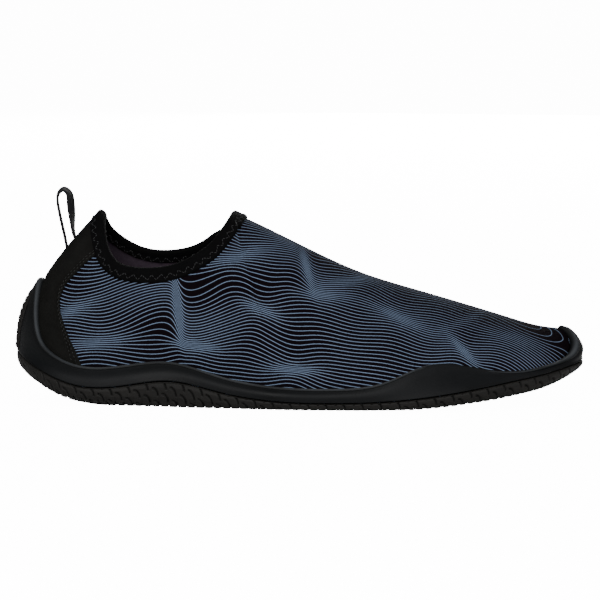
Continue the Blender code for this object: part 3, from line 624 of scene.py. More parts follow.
def makeTwill():
    # slanted ribs of a woven tape
    group, given, result = newGroup(
        "twill", {"Vector": None, "Ribs per mm": 1.2, "Slant": 1.0}, ("Height",))
    parts = newNode(group, "ShaderNodeSeparateXYZ", {0: given["Vector"]}).outputs
    across = calculate(group, "MULTIPLY", parts[1], given["Slant"])
    phase = calculate(group, "MULTIPLY", calculate(group, "ADD", parts[0], across),
                      given["Ribs per mm"])
    warp = wave(group, parts[1], 7.0)
    feed(group, result["Height"], calculate(group, "MULTIPLY_ADD", warp, 0.25, wave(group, phase)))
    return group


def makeGrain():
    # fine pebbled grain of moulded rubber, with a slower unevenness
    group, given, result = newGroup("rubberGrain", {"Vector": None}, ("Height", "Shade"))
    fine = noise(group, given["Vector"], 1800.0, 2.0)
    slow = noise(group, given["Vector"], 45.0, 4.0)
    feed(group, result["Height"], calculate(group, "MULTIPLY_ADD", slow, 0.6, fine))
    feed(group, result["Shade"], slow)
    return group


def makePrintedLines():
    # lines of even width where the phase passes a whole number; density is in lines per mm
    group, given, result = newGroup(
        "printedLines", {"Phase": 0.0, "Density": 0.5, "Width mm": 0.6, "Soft mm": 0.15,
                         "Widest share": 0.6}, ("Line",))
    part = calculate(group, "FRACT", given["Phase"])
    away = calculate(group, "ABSOLUTE", calculate(group, "SUBTRACT", part, 0.5))
    distance = calculate(group, "DIVIDE", calculate(group, "SUBTRACT", 0.5, away),
                         calculate(group, "MAXIMUM", given["Density"], 0.01))
    crowded = calculate(group, "DIVIDE", given["Widest share"], given["Density"])
    half = calculate(group, "MULTIPLY",
                     calculate(group, "MINIMUM", given["Width mm"], crowded), 0.5)
    fade = [calculate(group, operation, half, given["Soft mm"])
            for operation in ("SUBTRACT", "ADD")]
    feed(group, result["Line"], mapRange(group, distance, (1.0, 0.0), fade,
                                         interpolation_type="SMOOTHSTEP"))
    return group


groups = {"knit": makeKnit(), "twill": makeTwill(), "grain": makeGrain(),
          "printedLines": makePrintedLines()}


def useGroup(tree, name, values):
    return newNode(tree, "ShaderNodeGroup", values, node_tree=groups[name]).outputs


def newMaterial(name, specular):
    material = bpy.data.materials.new(name)
    material.use_nodes = True
    shader = material.node_tree.nodes["Principled BSDF"].inputs
    shader["Specular IOR Level"].default_value = specular
    return material, material.node_tree, shader


def finishLook(tree, shader, color, roughness, height, depth):
    # colour and roughness, and a bump whose depth is in metres
    bump = newNode(tree, "ShaderNodeBump",
                   {"Strength": 1.0, "Distance": depth, "Height": height})
    feed(tree, shader["Base Color"], color)
    feed(tree, shader["Roughness"], roughness)
    feed(tree, shader["Normal"], bump.outputs["Normal"])


def attribute(tree, name):
    return newNode(tree, "ShaderNodeAttribute", {}, attribute_name=name).outputs["Fac"]


def flatPlace(tree):
    return newNode(tree, "ShaderNodeUVMap", {}, uv_map="cloth").outputs["UV"]


def objectPlace(tree):
    return newNode(tree, "ShaderNodeTexCoord", {}).outputs["Object"]


printLook = {
    "ground": (0.0030, 0.0017, 0.0027),
    "line": (0.134, 0.182, 0.268),
    "lineWidth": 0.36,  # mm
    "lineSoftness": 0.13,  # mm
    "widestShare": 0.43,  # share of the gap that a line fills where they crowd
    "fading": (0.72, 1.0),  # how strong the ink is in its weakest and strongest patches
    "patches": 2.4,  # noise scale of those patches
    "roughness": (0.82, 0.94),
    "knitPitch": 2.2,  # loops per mm
    "knitDepth": 0.00008,
}


def makePrintedCloth():
    material, tree, shader = newMaterial("printedCloth", 0.02)
    line = useGroup(tree, "printedLines", {
        "Phase": attribute(tree, "printPhase"), "Density": attribute(tree, "printDensity"),
        "Width mm": printLook["lineWidth"], "Soft mm": printLook["lineSoftness"],
        "Widest share": printLook["widestShare"]})["Line"]
    flat = flatPlace(tree)
    knit = useGroup(tree, "knit", {"Vector": flat, "Loops per mm": printLook["knitPitch"]})
    strength = mapRange(tree, noise(tree, flat, printLook["patches"], 3.0), printLook["fading"])
    color = mixColors(tree, calculate(tree, "MULTIPLY", line, strength),
                      printLook["ground"], printLook["line"])
    finishLook(tree, shader, color, mapRange(tree, knit["Shade"], printLook["roughness"]),
               knit["Height"], printLook["knitDepth"])
    return material


def makePlainCloth(name, color, darker, roughness, pitch, depth):
    # one-coloured knit whose tone wanders a little
    material, tree, shader = newMaterial(name, 0.06)
    knit = useGroup(tree, "knit", {"Vector": flatPlace(tree), "Loops per mm": pitch})
    patchy = noise(tree, objectPlace(tree), 120.0, 5.0)
    rough = mapRange(tree, knit["Shade"], (roughness - 0.06, roughness + 0.06))
    finishLook(tree, shader, mixColors(tree, patchy, darker, color), rough,
               knit["Height"], depth)
    return material


def makeWebbing(name, color, darker):
    material, tree, shader = newMaterial(name, 0.12)
    height = useGroup(tree, "twill", {"Vector": flatPlace(tree), "Ribs per mm": 1.1})["Height"]
    # painted shade: the colour goes darker between the ribs, where the twill's height is low
    tone = mapRange(tree, height, fromRange=(-1.2, 1.2))
    finishLook(tree, shader, mixColors(tree, tone, darker, color),
               mapRange(tree, tone, (0.78, 0.6)), height, 0.00012)
    return material


def makeRubber(name, color, worn, paintedHighlight, roughness, grainDepth, specular):
    # moulded rubber: fine grain, slow unevenness, darker in grooves as painted shade, and paler
    # along the marked lip as a painted highlight
    material, tree, shader = newMaterial(name, specular)
    grain = useGroup(tree, "grain", {"Vector": objectPlace(tree)})
    tone = mapRange(tree, grain["Shade"], fromRange=(0.3, 0.7))
    patchy = mapRange(tree, grain["Shade"], (0.45, 1.0), (0.3, 0.6))
    # painted highlight: the marked lip rows turn paler, patchy with the grain
    paintedHighlightMask = calculate(tree, "MULTIPLY", attribute(tree, "paintedHighlight"), patchy)
    face = mixColors(tree, paintedHighlightMask, mixColors(tree, tone, color, worn), paintedHighlight)
    # painted shade: where the groove mark is, the colour drops to a tenth
    face = mixColors(tree, attribute(tree, "groove"), face, tuple(c * 0.1 for c in color))
    rough = mapRange(tree, tone, (roughness - 0.05, roughness + 0.07))
    finishLook(tree, shader, face, rough, grain["Height"], grainDepth)
    return material


def makeThread(name, color):
    material, tree, shader = newMaterial(name, 0.3)
    fibres = noise(tree, objectPlace(tree), 1500.0, 2.0)
    finishLook(tree, shader, mixColors(tree, fibres, tuple(c * 0.5 for c in color), color), 0.5,
               fibres, 0.0001)
    return material


looks = {
    "printedCloth": makePrintedCloth(),
    "lining": makePlainCloth("lining", (0.043, 0.031, 0.042), (0.026, 0.019, 0.026),
                             0.9, 2.4, 0.0001),
    "binding": makePlainCloth("bindingTape", (0.0019, 0.0019, 0.0020), (0.0006, 0.0006, 0.0007),
                              0.9, 1.6, 0.00016),
    "panelCloth": makePlainCloth("panelCloth", (0.0088, 0.0086, 0.0078), (0.0018, 0.0017, 0.0015),
                                 0.88, 1.8, 0.00014),
    "footbedCloth": makePlainCloth("footbedCloth", (0.030, 0.020, 0.026), (0.018, 0.012, 0.016),
                                   0.92, 1.2, 0.00018),
    "webbing": makeWebbing("webbing", (0.014, 0.014, 0.015), (0.004, 0.004, 0.004)),
    # each rubber's third colour is the painted highlight along the rand's lip
    "randRubber": makeRubber("randRubber", (0.0030, 0.0033, 0.0037), (0.0046, 0.0050, 0.0056),
                             (0.0350, 0.0380, 0.0420), 0.46, 0.00006, 0.07),
    "treadRubber": makeRubber("treadRubber", (0.0060, 0.0056, 0.0052), (0.0095, 0.0089, 0.0082),
                              (0.0160, 0.0150, 0.0140), 0.58, 0.00008, 0.12),
    "thread": makeThread("seamThread", (0.019, 0.019, 0.021)),
    "darkThread": makeThread("panelThread", (0.010, 0.010, 0.010)),
}
print("materials", len(looks))


# The printed upper
upperCloth = {
    "columns": 561,
    "rows": 66,
    "lineGap": 1.85,  # mm between printed lines where they run free
    # falls of the lines: mm down for each mm forward, mm from the heel where it sets in,
    # mm over which it eases in, share that gives way at the ridge
    "falls": ((0.17, 112.0, 16.0, 0.45), (1.00, 240.0, 9.0, 0.02)),
    "ridgeReach": 18.0,  # mm from the ridge over which they give way
    "ridgeRounding": 2.5,  # mm over which the lines turn across the ridge
    "ridgeBlend": 12.0,  # mm over which the swells of the two sides meet
    "ridgeFrom": 7,  # station from which the lines start to join over the top
}

# Places where the printed lines swell together: along and height, in mm from the heel and
# the floor; the angle of the bunch, 0 lying and 90 standing; how far lines are pulled in;
# how sharply; how far that is felt along the bunch and across it
outerSwells = (
    (81.0, 50.0, 84.0, 9.5, 2.0, 11.0, 20.0),
    (88.0, 31.0, 8.0, 4.0, 2.0, 8.0, 15.0),
    (42.0, 32.0, -8.0, 4.5, 4.0, 13.0, 18.0),
    (29.0, 47.0, -24.0, 4.0, 3.2, 9.0, 15.0),
    (108.0, 73.0, -14.0, 4.5, 3.4, 12.0, 16.0),
    (121.0, 49.0, 24.0, 4.2, 2.4, 7.0, 16.0),
    (137.0, 20.0, 2.0, 4.5, 2.0, 8.0, 14.0),
    (143.0, 70.0, 74.0, 7.0, 2.2, 9.0, 14.0),
    (151.0, 55.0, 8.0, 3.6, 2.8, 10.0, 14.0),
    (172.0, 61.0, -4.0, 3.4, 2.2, 12.0, 9.0),
    (188.0, 44.0, 24.0, 4.6, 2.6, 10.0, 15.0),
    (220.0, 28.0, 46.0, 5.0, 1.9, 7.0, 14.0),
    (230.0, 44.0, -18.0, 2.8, 2.2, 12.0, 8.0),
    (246.0, 33.0, 14.0, 3.6, 3.6, 12.0, 12.0),
)
innerSwells = (
    (46.0, 44.0, 6.0, 6.0, 2.6, 12.0, 18.0),
    (70.0, 30.0, -14.0, 6.0, 1.8, 11.0, 16.0),
    (92.0, 52.0, 78.0, 9.0, 1.8, 12.0, 18.0),
    (116.0, 36.0, 16.0, 6.0, 1.6, 9.0, 16.0),
    (130.0, 66.0, -12.0, 5.0, 2.4, 11.0, 15.0),
    (158.0, 42.0, 62.0, 8.0, 1.9, 10.0, 16.0),
    (178.0, 22.0, 4.0, 6.0, 1.6, 10.0, 14.0),
    (204.0, 40.0, 22.0, 6.0, 2.2, 12.0, 14.0),
    (238.0, 30.0, 30.0, 5.0, 2.4, 11.0, 13.0),
)

# Soft troughs of the cloth, in mm: along, height, angle, depth, width, reach, side
clothTroughs = (
    (114.0, 66.0, 62.0, 0.7, 6.0, 16.0, -1),
    (126.0, 58.0, 70.0, 0.5, 5.0, 13.0, -1),
    (44.0, 55.0, 80.0, 0.5, 5.0, 12.0, -1),
    (66.0, 44.0, 8.0, 0.4, 6.0, 18.0, -1),
    (205.0, 36.0, 30.0, 0.5, 6.0, 14.0, -1),
    (116.0, 62.0, 60.0, 0.7, 6.0, 16.0, 1),
    (48.0, 52.0, 84.0, 0.5, 5.0, 12.0, 1),
    (196.0, 34.0, 24.0, 0.5, 6.0, 14.0, 1),
)


def turnedFrom(points, along, height, degrees):
    # distances in mm from a place, along and across a direction turned by degrees
    turn = math.radians(degrees)
    dx = points[..., 0] / millimetre - along
    dz = points[..., 2] / millimetre - height
    return (dx * math.cos(turn) - dz * math.sin(turn),
            dz * math.cos(turn) + dx * math.sin(turn))


def swellField(points, swells):
    # how far the printed lines are shifted at points, in mm
    total = np.zeros(points.shape[:-1])
    for x, z, turn, lift, tight, reach, spread in swells:
        along, across = turnedFrom(points, x, z, turn)
        near = np.exp(-(along / reach) ** 2 / 2 - (across / spread) ** 2 / 2)
        total += lift * (across / tight) / np.sqrt(1 + (across / tight) ** 2) * near
    return total


def printPhase(points, w):
    # count of printed lines from the foot up, how many pass in one mm, and the flat places
    x = points[..., 0] / millimetre
    up = walked(points, 1) / millimetre
    total = up[:, -1:]
    toRidge = total - up
    onOuter = (w <= 1)[:, None]
    start = stations[upperCloth["ridgeFrom"]]
    blend = np.clip((sidePlace(w) - start) / (collarAt - start), 0, 1)[:, None]
    rounding = upperCloth["ridgeRounding"]
    turned = toRidge - np.sqrt(toRidge ** 2 + rounding ** 2) + rounding
    turned = turned * blend + rounding * (1 - blend)
    even = np.where(onOuter, 0.0, np.interp(2 - w, w, total[:, 0])[:, None] - total)
    nearRidge = np.exp(-(toRidge / upperCloth["ridgeReach"]) ** 2) * blend
    slope = 0
    for fall, setsIn, ease, givesWay in upperCloth["falls"]:
        ramp = ease * np.log1p(np.exp((x - setsIn) / ease))
        slope = slope + fall * ramp * (1 - givesWay * nearRidge)
    outer, inner = swellField(points, outerSwells), swellField(points, innerSwells)
    here = np.where(onOuter, outer, inner)
    shared = (outer[:, -1:] + inner[:, -1:]) / 2
    near = np.exp(-(toRidge / upperCloth["ridgeBlend"]) ** 2) * blend
    swell = here + (shared - here[:, -1:]) * near
    foot = points[:, :1, 2] / millimetre
    phase = (up + foot + turned + even + slope + swell) / upperCloth["lineGap"]
    a, b = (np.gradient(points, axis=axis) / millimetre for axis in (0, 1))
    phaseA, phaseB = np.gradient(phase)
    aa, ab, bb = (np.sum(pair, axis=2) for pair in (a * a, a * b, b * b))
    steep = ((phaseA ** 2 * bb - 2 * phaseA * phaseB * ab + phaseB ** 2 * aa)
             / np.maximum(aa * bb - ab ** 2, 1e-9))
    flat = np.stack([w[:, None] * sideLength / millimetre + 0 * up, up], axis=2)
    return phase, np.sqrt(np.maximum(steep, 1e-6)), flat


def clothSkin(w, t):
    # the upper's outer face with its troughs, which fade at the top edge
    points, normals = skin(w, t), skinNormal(w, t)
    fade = np.clip((1 - t) / 0.1, 0, 1)
    total = np.zeros(len(points))
    for x, z, turn, depth, width, reach, side in clothTroughs:
        along, across = turnedFrom(points, x, z, -turn)
        near = np.exp(-(along / reach) ** 2 - (across / width) ** 2)
        total += depth * near * np.clip(normals[:, 1] * side * 2, 0, 1)
    return points - normals * (total * millimetre * fade)[:, None]


def buildUpper():
    w = np.linspace(0, 2, upperCloth["columns"])
    points = gridPoints(w, np.linspace(0, 1, upperCloth["rows"]), clothSkin)
    phase, density, flat = printPhase(points, w)
    bm = gridMesh(points, flat, {"printPhase": phase, "printDensity": density})
    piece = finishPiece("upper_cloth", bm, ["printedCloth", "lining"], ["upper"],
                        "printed_fabric")
    thicken(piece, shoe["upperWall"], innerMaterial=1)
    return points


# The band folded over the collar's edge
collarBand = {
    "columns": 400,
    "outside": 0.0060,  # width outside, from the rim down
    "inside": 0.0046,
    "height": 0.0015,  # how far the band stands off the cloth
    "edgeHeight": 0.0007,
    "edgeShares": (1.0, 0.985, 0.965, 0.94, 0.9),  # rows of its rounded edge
    "rowsOver": (13, 11),  # further rows outside and inside
    "edgeRounding": 0.16,  # share of the width over which its edge is rounded
    "seamWidth": 0.12,  # share of the width
    "tuck": 0.00005,  # height of its cut edge over the cloth
    "search": 0.0009,  # how far off the cloth the search for it starts
    "seamDip": 0.00025,  # how far the zigzag seam pulls it in
    "seamPlace": 0.50,  # share of the width, from the rim
    "seamRows": (10, 38),  # the rows of its grid that are there
    "zigzagPitch": 0.0046,
    "zigzagReach": 0.0013,
    "wander": 0.00018,  # unevenness of the stitches
    "stitchLean": (0.19, 0.38),  # half of a stitch along and across, in shares of a leg
    "stitchSize": (0.0016, 0.00040, 0.00034),
    "stitchLift": 0.00006,
}


def evened(normals, times):
    # normals round a closed loop, smoothed
    for _ in range(times):
        normals = unit(np.roll(normals, 1, axis=0) + 2 * normals + np.roll(normals, -1, axis=0))
    return normals


def collarFrames(count):
    # rim points, and directions away from the opening and out of the upper
    place = np.linspace(0, 2 * collarAt, count, endpoint=False)

    def turnOf(where):
        return np.where(where <= collarAt, where, 2 - (2 * collarAt - where))

    h = 1e-4
    rim = skin(turnOf(place), 1.0)
    along = unit(skin(turnOf(place + h), 1.0) - skin(turnOf(place - h), 1.0))
    away = unit(np.cross(along, evened(skinNormal(turnOf(place), 1.0), 4)))
    return rim, away, unit(np.cross(away, along))


def buildBand(clothPoints):
    bm = gridMesh(clothPoints, np.zeros((*clothPoints.shape[:2], 2)))
    net = BVHTree.FromBMesh(bm)
    bm.free()
    rim, away, out = collarFrames(collarBand["columns"])
    wall = shoe["upperWall"]
    height = collarBand["height"]

    def pillow(share):
        # height of the band over the cloth across its width, 0 at the rim and 1 at its edge
        edge = np.clip((1 - share) / collarBand["edgeRounding"], 0, 1)
        rounded = 1 - (1 - edge) ** 2.4
        dip = math.exp(-((share - collarBand["seamPlace"]) / collarBand["seamWidth"]) ** 2)
        low = collarBand["edgeHeight"]
        return low + (height - low) * rounded - collarBand["seamDip"] * dip

    def sideRows(hand, depth, width, count):
        # rows from the cut edge to the rim; hand is 1 outside and -1 inside the upper
        shares = [*collarBand["edgeShares"], *np.linspace(0.84, 0.1, count)]
        lifts = [(1.0, collarBand["tuck"])] + [(share, pillow(share)) for share in shares]
        for share, lift in lifts:
            start = hand * (depth + collarBand["search"])
            found = [net.find_nearest(Vector(target))[:2]
                     for target in rim + away * width * share + out * start + shift]
            place = np.array([point for point, _ in found]) - shift
            normal = evened(np.array([normal for _, normal in found]), 6)
            yield place + hand * normal * (depth + lift)

    outsideRows, insideRows = collarBand["rowsOver"]
    rows = list(sideRows(1, 0.0, collarBand["outside"], outsideRows))
    for angle in np.linspace(0, math.pi, 11):
        rows.append(rim - away * height * math.sin(angle)
                    + out * (-wall / 2 + (wall / 2 + height) * math.cos(angle)))
    rows += list(sideRows(-1, wall, collarBand["inside"], insideRows))[::-1]
    rows.append(rows[0])
    points = np.stack(rows, axis=1)
    points = np.concatenate([points, points[:1]])
    gridPiece("collar_band", points, "binding", "collar_binding", "binding_fabric", closed=True)
    return points


def buildZigzag(bandPoints):
    # the seam that holds the band, two short stitches to each leg of its zigzag
    bm = bmesh.new()
    reach = collarBand["zigzagReach"]
    for middleRow in collarBand["seamRows"]:
        run = walked(bandPoints[:, middleRow])
        rowStep = np.linalg.norm(bandPoints[:, middleRow + 1] - bandPoints[:, middleRow - 1],
                                 axis=1).mean() / 2
        legs = 2 * round(run[-1] / collarBand["zigzagPitch"])
        share = (np.arange(legs * 2) + 0.5) / (legs * 2)
        leg = np.floor(share * legs)
        rising = np.where(leg % 2 == 0, 1.0, -1.0)
        offset = rising * (2 * (share * legs - leg) - 1) * reach
        offset += collarBand["wander"] * np.sin(np.arange(len(share)) * 2.7)
        halfLong, halfWide = collarBand["stitchLean"]

        def onSeam(end):
            # places and normals of the stitches' middles, at 0, or ends, at -1 and 1
            column = np.interp(np.mod(share + end * halfLong / legs, 1) * run[-1], run,
                               np.arange(len(run)))
            row = middleRow + (offset + end * rising * reach * halfWide) / rowStep
            return onGrid(bandPoints, column, row)

        place, normal = onSeam(0)
        direction = unit(onSeam(1)[0] - onSeam(-1)[0])
        normal = squareTo(normal, direction)
        addStitches(bm, place + normal * collarBand["stitchLift"], normal, direction,
                    collarBand["stitchSize"])
    finishPiece("collar_seam", bm, ["thread"], [], "binding_fabric", closed=True)


# The cloth panel round the heel
heelPanel = {
    "columns": 121,
    "rows": 70,
    "reach": 0.028,  # from its middle to its front edge, for seam and rounding
    "height": 0.0011,  # how far its face stands off the upper
    "edgeHeight": 0.00055,
    "edgeRounding": 0.0009,
    "thickness": 0.0006,
    "underRand": 0.0006,  # how far it goes on below the rand's lip
    "underBand": 0.0016,  # how far it goes on beneath the band
    "seamDip": 0.00022,
    "seamWidth": 0.0008,
    "seamInsets": (0.0030, 0.0014),  # from the front edge back to the rows of stitches
    "seamRun": (0.02, 0.98),  # shares of its height from which and up to which they run
    "firstStitch": 0.0005,  # from the seam's lower end
    "stitchPitch": 0.0021,
    "stitchSize": (0.0014, 0.00042, 0.00042),
    "stitchLift": 0.0001,
}
# its front edge: share of backHeight, share of length from the heel
panelEdge = (
    (0.210, 0.1240), (0.290, 0.1130), (0.350, 0.1030), (0.420, 0.0929),
    (0.500, 0.0846), (0.565, 0.0829), (0.640, 0.0950), (0.700, 0.1130), (0.770, 0.1360),
    (0.795, 0.1500), (0.830, 0.1760),
)


def panelTop(w):
    # the t at the lower edge of the band for places near the heel
    t = np.linspace(1, 0.4, 121)
    result = []
    for place in w:
        points = skin(np.full(len(t), place), t)
        rimStep = unit(rimCurve(place + 1e-3)[0] - rimCurve(place - 1e-3)[0])
        down = unit(points[3] - points[0])
        lean = math.sqrt(max(0.15, 1 - float(np.dot(rimStep, down)) ** 2))
        reach = (collarBand["outside"] - heelPanel["underBand"]) / lean
        result.append(np.interp(reach, walked(points), t))
    return np.array(result)


def buildHeelPanel():
    edge = np.array(panelEdge) * (shoe["backHeight"], shoe["length"])
    rowShares = np.linspace(0, 1, heelPanel["rows"])
    reach = np.linspace(0.0, stations[5], 160)
    lowT = atHeight(reach, level("lip", reach) - heelPanel["underRand"])
    highT = panelTop(reach)
    ends = []
    for share in rowShares:
        points = skin(reach, lowT + (highT - lowT) * share)
        past = np.nonzero(points[:, 0] >= np.interp(points[:, 2], *edge.T))[0]
        ends.append(reach[past[0]] if len(past) else reach[-1])
    ends = np.array(ends)
    for _ in range(6):
        ends[1:-1] = (ends[:-2] + 2 * ends[1:-1] + ends[2:]) / 4

    def placeAt(side, row):
        w = side * np.interp(row, rowShares, ends)
        near = np.abs(w)
        return w, np.interp(near, reach, lowT) * (1 - row) + np.interp(near, reach, highT) * row

    def face(side, row):
        inFromEdge = (1 - np.abs(side)) * heelPanel["reach"]
        rounded = 1 - (1 - np.clip(inFromEdge / heelPanel["edgeRounding"], 0, 1)) ** 2
        seam = np.exp(-((inFromEdge - heelPanel["seamInsets"][0]) / heelPanel["seamWidth"]) ** 2)
        low = heelPanel["edgeHeight"]
        height = low + (heelPanel["height"] - low) * rounded - heelPanel["seamDip"] * seam
        return offSkin(*placeAt(side, row), height)

    side = np.sin(np.linspace(-1, 1, heelPanel["columns"]) * math.pi / 2)
    piece = gridPiece("heel_panel_cloth", gridPoints(side, rowShares, face), "panelCloth",
                      "heel_panel", "heel_fabric")
    thicken(piece, heelPanel["thickness"])
    bm = bmesh.new()
    for hand in (-1, 1):
        for inset in heelPanel["seamInsets"]:
            row = np.linspace(*heelPanel["seamRun"], 400)
            seamSide = hand * (1 - inset / heelPanel["reach"])
            run = walked(face(np.full(400, seamSide), row))
            starts = np.arange(heelPanel["firstStitch"], run[-1], heelPanel["stitchPitch"])
            at = np.interp(starts, run, row)
            sides = np.full(len(at), seamSide)
            place = face(sides, at)
            normal = skinNormal(*placeAt(sides, at))
            direction = squareTo(unit(face(sides, np.minimum(at + 0.004, 1)) - place), normal)
            addStitches(bm, place + normal * heelPanel["stitchLift"], normal, direction,
                        heelPanel["stitchSize"])
    finishPiece("heel_panel_seam", bm, ["darkThread"], [], "heel_fabric", closed=True)


# The webbing loop at the heel
pullLoop = {
    "width": 0.0056,
    "thickness": 0.0014,
    "flatness": 0.35,  # 1 gives a round section and 0 a square one
    "twist": 34.0,  # degrees by which its front leg turns
    "twistPlace": 0.70,  # share of its length
    "twistReach": 0.16,
    "steps": 150,
}
# its centre line from the panel up, over and down: mm from the heel, mm over the floor
loopRoute = (
    (27.4, 73.2), (26.5, 74.9), (25.7, 78.2), (24.6, 83.6), (23.3, 89.4), (22.2, 94.8),
    (21.6, 99.2), (22.3, 102.8), (24.7, 104.5), (27.1, 102.7), (28.0, 98.6), (28.5, 93.2),
    (28.9, 87.6), (29.6, 82.4), (31.0, 78.9),
)


def buildPullLoop():
    route = np.array([(along, 0.0, height) for along, height in loopRoute]) * millimetre
    knots = walked(route)
    where = np.linspace(0, knots[-1], pullLoop["steps"])
    path = splineThrough(knots, route, False)(where)
    side = np.tile((0.0, 1.0, 0.0), (len(path), 1))
    out = unit(np.cross(unit(np.gradient(path, axis=0)), side))
    away = (where / knots[-1] - pullLoop["twistPlace"]) / pullLoop["twistReach"]
    turn = (np.radians(pullLoop["twist"]) * np.exp(-away ** 2))[:, None]
    across = (side * np.cos(turn) + out * np.sin(turn)) * pullLoop["width"] / 2
    face = (out * np.cos(turn) - side * np.sin(turn)) * pullLoop["thickness"] / 2

    def squarer(value):
        return math.copysign(abs(value) ** pullLoop["flatness"], value)

    points = np.stack([path + across * squarer(math.cos(angle)) + face * squarer(math.sin(angle))
                       for angle in np.linspace(0, 2 * math.pi, 25)], axis=1)
    bm = gridMesh(points, flatSizes(points))
    bmesh.ops.holes_fill(bm, edges=[edge for edge in bm.edges if edge.is_boundary], sides=0)
    finishPiece("pull_loop_webbing", bm, ["webbing"], ["pull_loop"], "webbing", closed=True)


# The rubber wall round the sole
rand = {
    "columns": 900,
    "hollow": 0.00030,  # how far its face dips under the rounded lip
    "heelFullness": 0.0030,  # how far its face swells out behind the heel
    "heelReach": 0.080,  # share of a side over which that fades
    "heelPlace": 0.9,  # share of its height from which it is full
    "toeFullness": 0.0037,
    "toeReach": 0.060,
    "toePlace": 0.62,
    "lipHeight": 0.0011,  # how far its rounded top stands over the lip's height
    "lipWidth": 0.0023,
    "lipLean": -0.05,  # most that it may lean upwards off the cloth
    "lipSink": 0.0002,  # how far the rounding starts below the lip's height
    "lipBack": (0.0012, 0.0001),  # how far down its back ends, and how far off the cloth
    "roundings": 90,  # smoothing steps along the lip where it peaks
    # rows of its foot: how far in from the outline and how far over the groove
    "footRows": ((0.0024, 0.0002), (0.0010, 0.0), (0.0004, 0.00005), (0.0001, 0.0003)),
    "rowShares": (0.04, 0.08, 0.14, 0.22, 0.30, 0.38, 0.46, 0.54, 0.62, 0.70, 0.78, 0.84,
                  0.89, 0.93, 0.965),
}


def endWeights(w):
    # how near places are to the heel and to the toe, 1 at each and fading to 0
    u = sidePlace(np.mod(w, 2))
    return np.exp(-(u / rand["heelReach"]) ** 2), np.exp(-((1 - u) / rand["toeReach"]) ** 2)


def buildRand():
    w = np.linspace(0, 2, rand["columns"])
    base = level("groove", w) + shoe["groove"] / 2
    lipHeight = level("lip", w)
    heel, toe = endWeights(w)
    heelFull, toeFull = rand["heelFullness"] * heel, rand["toeFullness"] * toe
    rows = [outline(w, inset, base + rise) for inset, rise in rand["footRows"]]
    footCount = len(rows)
    for share in rand["rowShares"]:
        dip = rand["hollow"] * math.sin(math.pi * min(1.0, share / 0.93)) ** 2
        swell = (heelFull * smooth(min(1.0, share / rand["heelPlace"]))
                 + toeFull * smooth(min(1.0, share / rand["toePlace"])))
        rows.append(randOuter(w, share) + outward(w) * (swell - dip)[:, None])
    faceEnd = len(rows)
    lipT = atHeight(w, lipHeight)
    lip = skin(w, lipT)
    normal = skinNormal(w, lipT)
    normal[:, 2] = np.minimum(normal[:, 2], rand["lipLean"])
    normal = unit(normal)
    wide = rand["lipWidth"] + heelFull + toeFull
    tall = rand["lipHeight"] * wide / rand["lipWidth"]
    for angle in (0, 18, 36, 54, 72, 90, 108, 126, 145):
        turn = math.radians(angle)
        stand = shoe["fit"] + wide / 2 + wide / 2 * math.cos(turn)
        rows.append(lip + normal * stand[:, None]
                    + upBy(tall * math.sin(turn) - rand["lipSink"]))
    drop, off = rand["lipBack"]
    rows.append(offSkin(w, atHeight(w, lipHeight - drop), 0 * w + off))
    points = np.stack(rows, axis=1)[:-1]
    peaked = np.maximum(heel, toe)[:-1, None, None] * np.clip(
        (np.arange(len(rows)) - footCount) / 12, 0, 1)[None, :, None]
    for _ in range(rand["roundings"]):
        beside = (np.roll(points, 1, axis=0) + np.roll(points, -1, axis=0)) / 2
        points += (beside - points) * peaked * 0.7
    points = np.concatenate([points, points[:1]])
    # painted highlight: the top rows of the rounded lip are marked to be paler
    paintedHighlight = np.exp(-((np.arange(len(rows)) - faceEnd - 3.5) / 1.8) ** 2)
    gridPiece("rand_wall", points, "randRubber", "rand", "rand_rubber",
              {"paintedHighlight": np.repeat(paintedHighlight[None], len(points), axis=0)})
    return points[:-1, footCount:faceEnd]


# The outsole's side, with its toothed lower edge, and its underside
outsole = {
    "columns": 2300,
    "rows": 32,
    "toothPitch": 0.0043,
    "toothDepth": 0.0009,
    "toothShare": 0.66,  # share of the pitch that stands proud
    "clawStep": (4.9, 3.2),  # mm forward and down from one groove of a chain to the next
    "chainPitch": 8.8,  # mm between chains
    "clawSize": (3.1, 4.6),  # mm, width and drop of one curved groove
    "clawWidth": 0.40,  # mm
    "clawDepth": 0.00075,
    "clawRise": 0.6,  # mm by which the first groove starts over the rim
    "toothFrom": 0.55,  # share of the side from which the teeth stand out
    # rows of its rim: how far in from the outline and how far down
    "rimRows": ((0.0024, 0.0), (0.0009, 0.0), (0.0003, 0.00008), (0.00005, 0.0003)),
    "sideShares": (0.0, 0.22, 0.60, 0.90),  # how far in the side is on its way down
    "sideInsets": (0.0002, 0.0, 0.0004, 0.0015),
    # rows of its edge: how far in, and by what share of a tooth's gap, the share of the
    # side's height down, and how far up from there, and by what share of the gap
    "edgeRows": ((0.0019, 0.8, 0.95, 0.0, 0.5), (0.0025, 0.7, 0.99, 0.0, 0.8),
                 (0.0034, 0.6, 1.0, 0.0, 1.0), (0.0052, 0.0, 1.0, -0.0001, 1.0),
                 (0.0062, 0.0, 1.0, 0.0016, 0.0)),
    "treadInset": 0.0036,  # from the outline in to the tread's edge
    "treadLift": ((0.0, 0.0056, 0.0124), (1.0, 0.3, 0.0)),  # its curl, by distance in
    "toothBand": (0.0105, 0.002),  # how far in the teeth reach, and their fade
    "waveRibPitch": 0.0052,
    "waveRibDepth": 0.0011,
    "waveLength": 0.011,
    "waveReach": 0.0016,
    "crossPitch": 0.022,  # across the sole, between the cuts through the ribs
    "ribShape": (0.30, 0.07),  # half of a rib and its slope, in shares of the pitch
    "crossShape": (0.04, 0.03),  # the same for the cuts
}


def toothCut(distance):
    # 0 on a tooth and 1 in the gap between two
    away = np.abs(np.mod(distance / outsole["toothPitch"], 1) - 0.5) * 2
    gapShare = 1 - outsole["toothShare"]
    return np.clip((gapShare - away) / (gapShare * 0.5), 0, 1) * outsole["toothDepth"]


